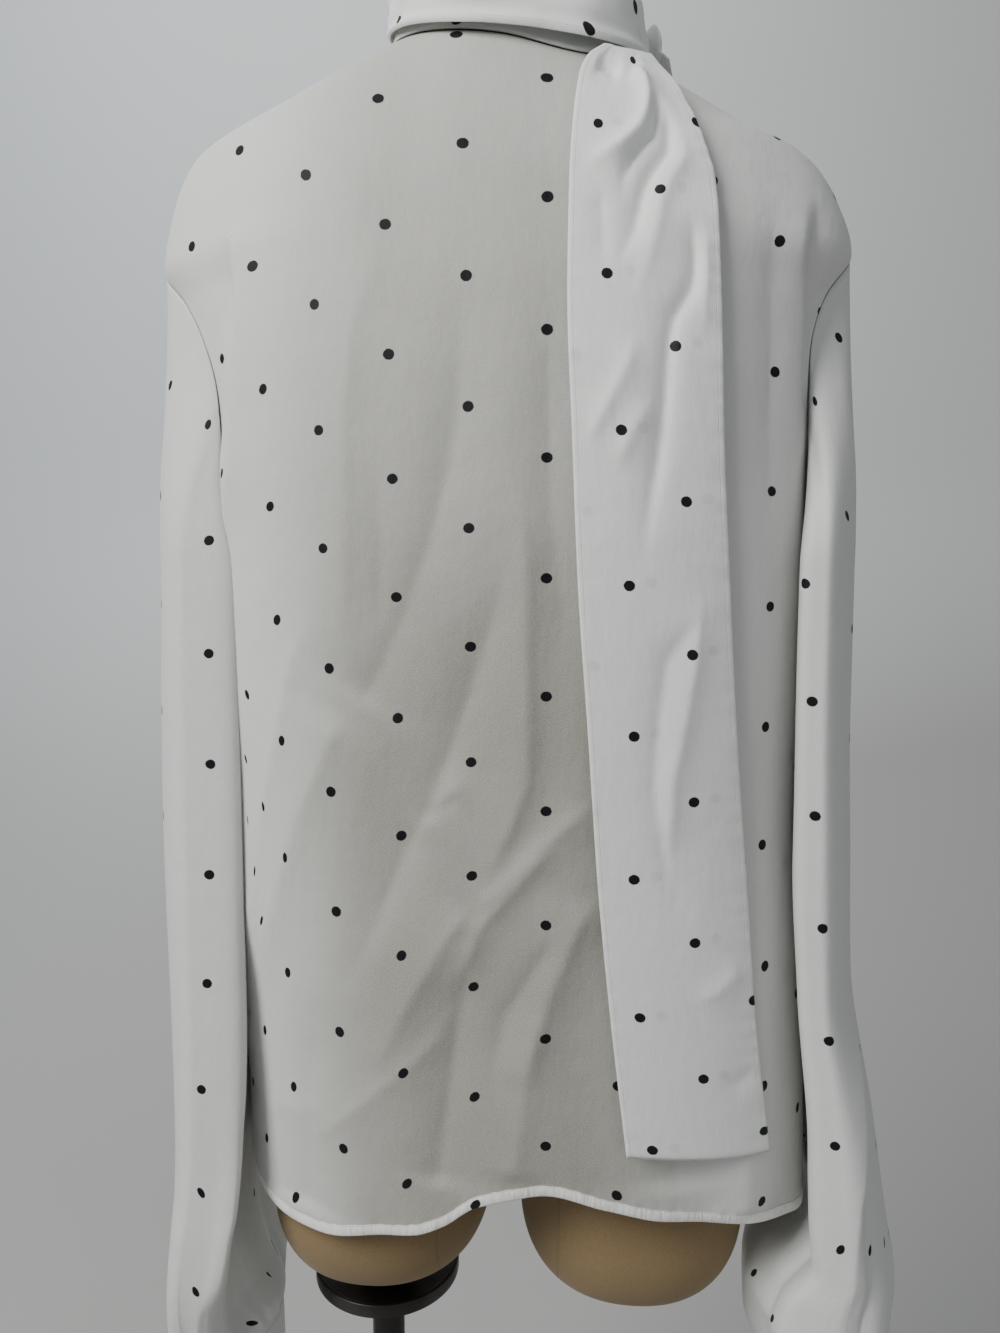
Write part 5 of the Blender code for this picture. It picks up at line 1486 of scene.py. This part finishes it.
class OBJECT_OT_blouse_stand(bpy.types.Operator):
    """Adds the flange under the left stump, the pole and the round base with its hub"""

    bl_idname = "object.blouse_stand"
    bl_label = "Stand"

    def execute(self, context):
        settings = context.scene.blouse_stand
        metal = satin_metal("black satin metal", settings)
        dish_top = FLANGE_DISH_HEIGHT
        flange_steps = [
            (1, FLANGE_RADIUS - FLANGE_THICKNESS, -FLANGE_RIM_RISE),
            (1, FLANGE_HUB_RADIUS, STUMP_BOTTOM - SEAM_GAP - dish_top),
            (-1, FLANGE_HUB_RADIUS, FLANGE_THICKNESS - FLANGE_HUB_DROP),
        ]
        rim_top = dish_top + FLANGE_RIM_RISE
        depth = FLANGE_RIM_RISE + FLANGE_THICKNESS
        flange = turned_disc(context, "flange_plate", FLANGE_RADIUS, depth, rim_top, flange_steps)
        round_edges(flange, settings.edge_rounding * FLANGE_ROUNDING_SHARE)
        dress(flange, "stand_flange", metal)
        base_steps = [
            (1, BASE_RIM_RADIUS, BASE_RIM_RISE),
            (1, BASE_HUB_RADIUS + BASE_STEP_WIDTH, BASE_STEP_RISE),
            (1, BASE_HUB_RADIUS, BASE_HUB_HEIGHT - BASE_THICKNESS - BASE_RIM_RISE - BASE_STEP_RISE),
        ]
        base = turned_disc(context, "base_plate", BASE_RADIUS, BASE_THICKNESS, BASE_THICKNESS, base_steps)
        round_edges(base, settings.edge_rounding)
        dress(base, "stand_base", metal)
        bottom = BASE_THICKNESS / 2 + SEAM_GAP
        pole = add_cylinder(context, "pole_tube", POLE_SIDES, POLE_RADIUS, bottom, POLE_TOP)
        round_edges(pole, settings.edge_rounding * POLE_ROUNDING_SHARE)
        dress(pole, "stand_pole", metal)
        return {"FINISHED"}


# ---------------------------------------------------------------- materials

# A stretch softly maps one range of a value onto another: from low, from high, to low, to high.
# GRAINS are a noise's grains for each metre along its three axes.
DOT_BLUR = 0.09
DOT_WOBBLE = 0.16
DOT_WOBBLE_SCALE = 900.0
GHOST_BLUR = 0.32
GHOST_SHARE = 0.16
GHOST_COLOUR = (0.30, 0.31, 0.32, 1.0)
PEBBLE_GRAINS = (2600.0, 1100.0, 1.0)
THREAD_GRAINS = (900.0, 2600.0, 1.0)
PEBBLE_SHARE = 0.6
THREAD_SHARE = 0.4
WEAVE_STRETCH = (0.62, 0.30, 0.0, 0.55)
WEAVE_DARKNESS = 0.90
# Painted shade over the form: a darker tan, strongest over the middle of the back and lower down. It stands
# for the tan form seen through the thin cloth and the shade on it, and has a cloudy unevenness.
FORM_SHOW_THROUGH_SHADE = (0.375, 0.355, 0.295, 1.0)
SHOW_THROUGH_SHADE_ACROSS = (0.050, 0.150, 1.0, 0.0)
SHOW_THROUGH_SHADE_UP = (1.38, 0.95, 0.55, 1.0)
CLOUD_SCALE = 9.0
CLOUD_STRETCH = (0.35, 0.65, 0.85, 1.0)
HEM_COLOUR = (0.93, 0.92, 0.895, 1.0)
HEM_BLUR = 0.0004
HEM_WHITENESS = 0.90
HEM_DENSITY = 0.7
HEM_STITCH_INSET = 0.0008
SEAM_STITCH_LINE = 0.0030
STITCHES_PER_METRE = 420.0
STITCH_DASH = (0.30, 0.42, 1.0, 0.0)
STITCH_WIDTH = (0.0001, 0.0004, 1.0, 0.0)
WEAVE_HEIGHT = 0.00010
HEM_STITCH_HEIGHT = -0.00022
SEAM_STITCH_HEIGHT = -0.00016
BROAD_SCALE = 55.0
BROAD_HEIGHT = 0.0007
TIE_BROAD_HEIGHT = 0.0006
FINE_GRAINS = (150.0, 45.0, 1.0)
FINE_TURN = -0.5
FINE_HEIGHT = 0.00035
PUCKER_GRAINS = (300.0, 50.0, 1.0)
PUCKER_DEPTH = 0.0016
CREPE_BUMP = 0.9
CREPE_THROUGH = 0.24
TIE_THROUGH = 0.12
CREPE_SURFACE = {
    "Roughness": 0.58,
    "Specular IOR Level": 0.22,
    "Sheen Weight": 0.05,
    "Sheen Roughness": 0.45,
    "Sheen Tint": (1.0, 1.0, 1.0, 1.0),
}
FORM_SEAMS = (0.037, -0.039)
FORM_SEAM_STRETCH = (0.0003, 0.0012, 1.0, 0.0)
FORM_SEAM_SHARE = 0.55
FORM_SEAM_HEIGHT = -0.0005
LINEN_WARP_GRAINS = (2600.0, 2600.0, 700.0)
LINEN_WEFT_GRAINS = (700.0, 700.0, 2600.0)
LINEN_CLOUD_SCALE = 14.0
LINEN_CLOUD_STRETCH = (0.35, 0.70)
LINEN_CLOUD_SHARE = 0.25
LINEN_WEAVE_STRETCH = (0.85, 1.15)
LINEN_DARKNESS = 0.88
LINEN_LIGHTNESS = 1.05
LINEN_HEIGHT = 0.00012
LINEN_BUMP = 0.8
LINEN_SURFACE = {
    "Roughness": 0.82,
    "Specular IOR Level": 0.25,
    "Sheen Weight": 0.15,
    "Sheen Tint": (1.0, 0.93, 0.80, 1.0),
}
METAL_GRAIN_SCALE = 260.0
METAL_PATCH_SCALE = 24.0
METAL_PATCH_STRETCH = (0.50, 0.75)
METAL_ROUGHNESS = (0.2, 0.8, 0.30, 0.48)
METAL_WEAR = 2.4
METAL_HEIGHT = 0.00003
METAL_BUMP = 0.5
METAL_SURFACE = {"Metallic": 0.35}
# Pale paint of the floor and wall, and the painted shade on it: darker low down and towards the wearer's
# right.
PAINT_LIGHT = (0.83, 0.87, 0.87, 1.0)
PAINTED_SHADE_TONE = (0.44, 0.43, 0.42, 1.0)
PAINTED_SHADE_ACROSS = (1.6, -1.8, 0.0, 0.6)
PAINTED_SHADE_UP = (1.3, 0.0, 0.0, 0.85)
PAINT_CLOUD_SCALE = 1.2
PAINT_CLOUD_SHARE = 0.06
PAINT_SURFACE = {"Roughness": 0.8}


class NodeBuilder:
    """Adds and links the nodes of one material."""

    def __init__(self, name):
        self.material = bpy.data.materials.new(name)
        self.material.use_nodes = True
        self.tree = self.material.node_tree
        self.shader = self.tree.nodes["Principled BSDF"]
        self.output = self.tree.nodes["Material Output"]

    def node(self, kind, inputs=(), **settings):
        """A node with settings, whose inputs are values or other nodes' outputs, by name or number."""
        made = self.tree.nodes.new(kind)
        for key, value in settings.items():
            setattr(made, key, value)
        for key, value in dict(inputs).items():
            self.feed(made.inputs[key], value)
        return made

    def feed(self, socket, value):
        """Links an output to a socket, or sets the socket to a value."""
        if isinstance(value, bpy.types.NodeSocket):
            self.tree.links.new(value, socket)
        else:
            socket.default_value = value

    def math(self, operation, first, second=0.0, third=0.0):
        """The output of a Math node."""
        made = self.node("ShaderNodeMath", {0: first, 1: second, 2: third}, operation=operation)
        return made.outputs[0]

    def times(self, first, second):
        """The product of two values."""
        return self.math("MULTIPLY", first, second)

    def plus(self, first, second):
        """The sum of two values."""
        return self.math("ADD", first, second)

    def minus(self, first, second):
        """The difference of two values."""
        return self.math("SUBTRACT", first, second)

    def size(self, value):
        """A value without its sign."""
        return self.math("ABSOLUTE", value)

    def blend_colour(self, share, first, second):
        """The output of a colour Mix node."""
        made = self.node("ShaderNodeMix", data_type="RGBA")
        self.feed(made.inputs["Factor"], share)
        self.feed(made.inputs["A"], first)
        self.feed(made.inputs["B"], second)
        return made.outputs["Result"]

    def ramp(self, value, low, high, from_zero=0.0, to_one=1.0):
        """A value stretched softly from the range low to high onto 0 to 1, or onto another range."""
        inputs = {"Value": value, 1: low, 2: high, 3: from_zero, 4: to_one}
        made = self.node("ShaderNodeMapRange", inputs, interpolation_type="SMOOTHSTEP")
        return made.outputs[0]

    def noise(self, place, scale, detail=2.0, roughness=0.5):
        """The output of a Noise node."""
        inputs = {"Vector": place, "Scale": scale, "Detail": detail, "Roughness": roughness}
        return self.node("ShaderNodeTexNoise", inputs).outputs[0]

    def grains(self, place, grains, detail=2.0, roughness=0.6, turn=0.0):
        """Noise with its own fineness along each axis, turned in the plane of the print."""
        inputs = {"Vector": place, "Rotation": (0.0, 0.0, turn), "Scale": grains}
        return self.noise(self.node("ShaderNodeMapping", inputs).outputs[0], 1.0, detail, roughness)

    def solid(self):
        """Places in metres in the object's own space, and their x and z."""
        place = self.node("ShaderNodeTexCoord").outputs["Object"]
        split = self.node("ShaderNodeSeparateXYZ", {0: place})
        return place, split.outputs[0], split.outputs[2]

    def bump(self, height, strength):
        """Feeds the shader a relief in metres, and gives its normal."""
        inputs = {"Strength": strength, "Distance": 1.0, "Height": height}
        normal = self.node("ShaderNodeBump", inputs).outputs[0]
        self.feed(self.shader.inputs["Normal"], normal)
        return normal

    def surface(self, colour, values):
        """Feeds the shader its colour, and sets its uniform values."""
        self.feed(self.shader.inputs["Base Color"], colour)
        for key, value in values.items():
            self.shader.inputs[key].default_value = value


def scaled(colour, share):
    """A colour made darker or lighter."""
    return (*(share * channel for channel in colour[:3]), 1.0)


def dot_mask(build, place, columns, cloth, blur, shift):
    """1 inside the printed dots and 0 between them, for a place along the print in metres."""
    split = build.node("ShaderNodeSeparateXYZ", {0: place})
    column = build.math("DIVIDE", build.plus(split.outputs[0], shift[0]), columns.column_gap)
    index = build.math("ROUND", column)
    across = build.times(build.minus(column, index), columns.column_gap)
    lowered = build.times(index, columns.column_drop)
    row = build.math("DIVIDE", build.minus(build.plus(split.outputs[1], shift[1]), lowered), columns.row_gap)
    along = build.times(build.minus(row, build.math("ROUND", row)), columns.row_gap)
    x = build.math("DIVIDE", across, cloth.dot_width / 2)
    y = build.math("DIVIDE", along, cloth.dot_height / 2)
    distance = build.math("SQRT", build.plus(build.times(x, x), build.times(y, y)))
    wobble = build.times(build.noise(place, DOT_WOBBLE_SCALE, 1.0), DOT_WOBBLE)
    distance = build.plus(distance, build.minus(wobble, DOT_WOBBLE / 2))
    return build.ramp(distance, 1.0 - blur, 1.0 + blur, 1.0, 0.0)


def crepe(name, cloth, pattern, show_through_shade):
    """Thin dotted crepe: a fine pebbled weave, soft sheen, white stitched hems, light coming through, and
    painted shade where it lies over the form.
    """
    build = NodeBuilder(name)
    doubled = pattern != cloth
    place = build.node("ShaderNodeUVMap", uv_map="Print").outputs[0]
    hem = build.node("ShaderNodeAttribute", attribute_name="hem").outputs["Fac"]
    edge = build.node("ShaderNodeAttribute", attribute_name="edge").outputs["Fac"]
    dots = dot_mask(build, place, pattern, cloth, DOT_BLUR, TIE_PRINT_SHIFT if doubled else PRINT_SHIFT)
    solid, x, z = build.solid()
    pebbles = build.times(build.grains(place, PEBBLE_GRAINS), PEBBLE_SHARE)
    threads = build.times(build.grains(place, THREAD_GRAINS, 1.0, 0.5), THREAD_SHARE)
    weave = build.plus(pebbles, threads)
    base = (*pattern.colour, 1.0)
    # Painted shade: over the middle of the back and lower down, the cloth is painted a darker tan for the
    # form seen through it and the shade there.
    shade_over_back = build.ramp(build.size(x), *SHOW_THROUGH_SHADE_ACROSS)
    share = build.times(build.times(shade_over_back, build.ramp(z, *SHOW_THROUGH_SHADE_UP)), show_through_shade)
    uneven = build.times(build.ramp(build.noise(solid, CLOUD_SCALE, 3.0), *CLOUD_STRETCH), share)
    tint = build.blend_colour(uneven, base, FORM_SHOW_THROUGH_SHADE)
    tint = build.blend_colour(build.ramp(weave, *WEAVE_STRETCH), tint, scaled(base, WEAVE_DARKNESS))
    rolled = build.ramp(hem, cloth.hem_depth - HEM_BLUR, cloth.hem_depth + HEM_BLUR, 1.0, 0.0)
    tint = build.blend_colour(build.times(rolled, HEM_WHITENESS), tint, HEM_COLOUR)
    if doubled:
        ghost = dot_mask(build, place, pattern, cloth, GHOST_BLUR, TIE_GHOST_SHIFT)
        tint = build.blend_colour(build.times(ghost, GHOST_SHARE), tint, GHOST_COLOUR)
    colour = build.blend_colour(dots, tint, (*cloth.dot_colour, 1.0))
    build.surface(colour, CREPE_SURFACE)
    height = build.times(weave, WEAVE_HEIGHT)
    for relief, size in (
        (stitches(build, place, hem, cloth.hem_depth - HEM_STITCH_INSET), HEM_STITCH_HEIGHT),
        (stitches(build, place, edge, SEAM_STITCH_LINE), SEAM_STITCH_HEIGHT),
        (build.noise(place, BROAD_SCALE, 3.0, 0.55), TIE_BROAD_HEIGHT if doubled else BROAD_HEIGHT),
        (build.grains(place, FINE_GRAINS, 2.0, 0.55, FINE_TURN), FINE_HEIGHT),
        (build.times(build.grains(place, PUCKER_GRAINS), rolled), PUCKER_DEPTH),
    ):
        height = build.plus(height, build.times(relief, size))
    normal = build.bump(height, CREPE_BUMP)
    through = build.node("ShaderNodeBsdfTranslucent", {"Color": colour, "Normal": normal})
    thinness = build.minus(1.0, build.times(rolled, HEM_DENSITY))
    thinness = build.times(thinness, TIE_THROUGH if doubled else CREPE_THROUGH)
    inputs = {0: thinness, 1: build.shader.outputs[0], 2: through.outputs[0]}
    build.feed(build.output.inputs["Surface"], build.node("ShaderNodeMixShader", inputs).outputs[0])
    return build.material


def stitches(build, place, distance, line):
    """A row of small stitches at a distance from an edge."""
    split = build.node("ShaderNodeSeparateXYZ", {0: place})
    run = build.plus(split.outputs[0], split.outputs[1])
    phase = build.math("FRACT", build.times(run, STITCHES_PER_METRE))
    dash = build.ramp(build.size(build.minus(phase, 0.5)), *STITCH_DASH)
    near = build.ramp(build.size(build.minus(distance, line)), *STITCH_WIDTH)
    return build.times(dash, near)


def linen(name, settings):
    """Matt tan linen stretched over padding, with its lengthwise sewn seams."""
    build = NodeBuilder(name)
    solid, x, _ = build.solid()
    weave = build.plus(build.grains(solid, LINEN_WARP_GRAINS), build.grains(solid, LINEN_WEFT_GRAINS))
    dark = scaled(settings.cover_colour, LINEN_DARKNESS)
    light = scaled(settings.cover_colour, LINEN_LIGHTNESS)
    colour = build.blend_colour(build.ramp(weave, *LINEN_WEAVE_STRETCH), dark, light)
    cloudy = build.ramp(build.noise(solid, LINEN_CLOUD_SCALE, 3.0), *LINEN_CLOUD_STRETCH)
    colour = build.blend_colour(build.times(cloudy, LINEN_CLOUD_SHARE), colour, dark)
    first, second = (
        build.ramp(build.size(build.minus(x, middle)), *FORM_SEAM_STRETCH) for middle in FORM_SEAMS)
    seam = build.math("MAXIMUM", first, second)
    colour = build.blend_colour(build.times(seam, FORM_SEAM_SHARE), colour, dark)
    build.surface(colour, LINEN_SURFACE)
    build.bump(build.plus(build.times(weave, LINEN_HEIGHT), build.times(seam, FORM_SEAM_HEIGHT)), LINEN_BUMP)
    return build.material


def satin_metal(name, settings):
    """Black satin metal with faint mottling and a little wear."""
    build = NodeBuilder(name)
    solid = build.solid()[0]
    grain = build.noise(solid, METAL_GRAIN_SCALE, 4.0, 0.6)
    patches = build.noise(solid, METAL_PATCH_SCALE, 3.0)
    base = (*settings.metal_colour, 1.0)
    colour = build.blend_colour(build.ramp(patches, *METAL_PATCH_STRETCH), base, scaled(base, METAL_WEAR))
    build.surface(colour, METAL_SURFACE)
    build.feed(build.shader.inputs["Roughness"], build.ramp(grain, *METAL_ROUGHNESS))
    build.bump(build.times(grain, METAL_HEIGHT), METAL_BUMP)
    return build.material


def pale_paint(name):
    """Pale matt paint of the floor and wall, with painted shade: a little darker low down and towards the
    wearer's right.
    """
    build = NodeBuilder(name)
    solid, x, z = build.solid()
    # Painted shade: darker low down and towards the wearer's right, where the light falls off.
    darker = build.plus(build.ramp(x, *PAINTED_SHADE_ACROSS), build.ramp(z, *PAINTED_SHADE_UP))
    share = build.plus(darker, build.times(build.noise(solid, PAINT_CLOUD_SCALE, 3.0), PAINT_CLOUD_SHARE))
    build.surface(build.blend_colour(share, PAINT_LIGHT, PAINTED_SHADE_TONE), PAINT_SURFACE)
    return build.material


# ---------------------------------------------------------------- stage

SWEEP_START = -0.9
SWEEP_RADIUS = 1.5
SWEEP_STEPS = 25
FLOOR_DEPTHS = (7.0, 2.0, SWEEP_START)
WALL_HEIGHT = 9.0
WALL_HALF_WIDTH = 8.0
WALL_COLUMNS = 9
SENSOR_WIDTH = 36.0
ROOM_COLOUR = (0.90, 0.94, 1.0, 1.0)
ROOM_STRENGTH = 0.38
AreaLight = namedtuple("AreaLight", "name place aim size power colour")
LIGHTS = rows_of(AreaLight, [
    ("key", (1.18, 1.25, 2.40), (0.0, 0.0, 1.05), (1.0, 1.2), 56.0, (1.0, 0.995, 0.98)),
    ("fill", (-1.7, 2.0, 1.5), (0.0, 0.0, 0.9), (1.6, 1.6), 4.0, (1.0, 0.96, 0.92)),
    ("front", (0.9, -1.7, 2.4), (0.0, 0.0, 0.9), (1.4, 1.4), 9.0, (1.0, 1.0, 1.0)),
    ("wall", (0.8, -0.75, 3.3), (0.6, -2.4, 2.9), (2.4, 0.8), 20.0, (0.97, 1.0, 1.0)),
])
CAMERA_PLACE = (-0.068, 0.646, 1.106)
CAMERA_LOOK = (0.1039, -0.9890, -0.1045)
CAMERA_LENS = 27.0
CAMERA_SHIFT = -0.00525


def add_area_light(row):
    """A soft rectangular light that faces a point."""
    data = bpy.data.lights.new(row.name, "AREA")
    data.shape = "RECTANGLE"
    data.size, data.size_y = row.size
    data.energy = row.power
    data.color = row.colour
    light = bpy.data.objects.new(row.name, data)
    light.location = row.place
    light.visible_camera = False
    light.rotation_euler = (Vector(row.aim) - Vector(row.place)).to_track_quat("-Z", "Y").to_euler()
    bpy.context.scene.collection.objects.link(light)


def backdrop(name):
    """A pale floor that sweeps up into a wall far behind the object."""
    bend = np.linspace(0, math.pi / 2, SWEEP_STEPS)[1:]
    sweep = SWEEP_START - SWEEP_RADIUS * np.sin(bend)
    depth = np.concatenate([FLOOR_DEPTHS, sweep, [SWEEP_START - SWEEP_RADIUS]])
    height = np.concatenate([np.zeros(len(FLOOR_DEPTHS)), SWEEP_RADIUS * (1 - np.cos(bend)), [WALL_HEIGHT]])
    x, y = np.meshgrid(np.linspace(-WALL_HALF_WIDTH, WALL_HALF_WIDTH, WALL_COLUMNS), depth)
    points = np.stack([x, y, height[:, None] + 0 * x], axis=-1)
    return add_lattice(name, points[:, ::-1], np.zeros((*x.shape, 2)))


class OBJECT_OT_blouse_stage(bpy.types.Operator):
    """Adds the floor, the wall, the lights and the camera"""

    bl_idname = "object.blouse_stage"
    bl_label = "Stage"

    def execute(self, context):
        floor = backdrop("floor_and_wall")
        floor.data.materials.append(pale_paint("pale paint"))
        for row in LIGHTS:
            add_area_light(row)
        world = bpy.data.worlds.new("pale room")
        world.use_nodes = True
        background = world.node_tree.nodes["Background"]
        background.inputs["Color"].default_value = ROOM_COLOUR
        background.inputs["Strength"].default_value = ROOM_STRENGTH
        context.scene.world = world
        data = bpy.data.cameras.new("camera")
        data.lens = CAMERA_LENS
        data.sensor_width = SENSOR_WIDTH
        data.shift_x = CAMERA_SHIFT
        camera = bpy.data.objects.new("camera", data)
        camera.location = CAMERA_PLACE
        camera.rotation_euler = Vector(CAMERA_LOOK).to_track_quat("-Z", "Y").to_euler()
        context.scene.collection.objects.link(camera)
        context.scene.camera = camera
        return {"FINISHED"}


# ---------------------------------------------------------------- sidebar and start

STEPS = (
    OBJECT_OT_blouse_panels,
    OBJECT_OT_blouse_sleeves,
    OBJECT_OT_blouse_tie,
    OBJECT_OT_blouse_form,
    OBJECT_OT_blouse_stand,
    OBJECT_OT_blouse_stage,
)


class VIEW3D_PT_blouse(bpy.types.Panel):
    """The sidebar page of the blouse"""

    bl_label = "Tie-neck blouse"
    bl_space_type = "VIEW_3D"
    bl_region_type = "UI"
    bl_category = "Blouse"

    def draw(self, context):
        for group in (context.scene.blouse_cloth, context.scene.blouse_tie, context.scene.blouse_stand):
            box = self.layout.box()
            for key in group.__annotations__:
                box.prop(group, key)
        for step in STEPS:
            self.layout.operator(step.bl_idname)


GROUPS = {"blouse_cloth": BlouseCloth, "blouse_tie": BlouseTie, "blouse_stand": BlouseStand}
CLASSES = (*GROUPS.values(), *STEPS, VIEW3D_PT_blouse)


def register():
    for item in CLASSES:
        bpy.utils.register_class(item)
    for name, group in GROUPS.items():
        setattr(bpy.types.Scene, name, PointerProperty(type=group))


def unregister():
    for name in GROUPS:
        delattr(bpy.types.Scene, name)
    for item in reversed(CLASSES):
        bpy.utils.unregister_class(item)


def main():
    register()
    bpy.ops.object.blouse_panels()
    bpy.ops.object.blouse_sleeves()
    bpy.ops.object.blouse_tie()
    bpy.ops.object.blouse_form()
    bpy.ops.object.blouse_stand()
    bpy.ops.object.blouse_stage()


if __name__ == "__main__":
    main()
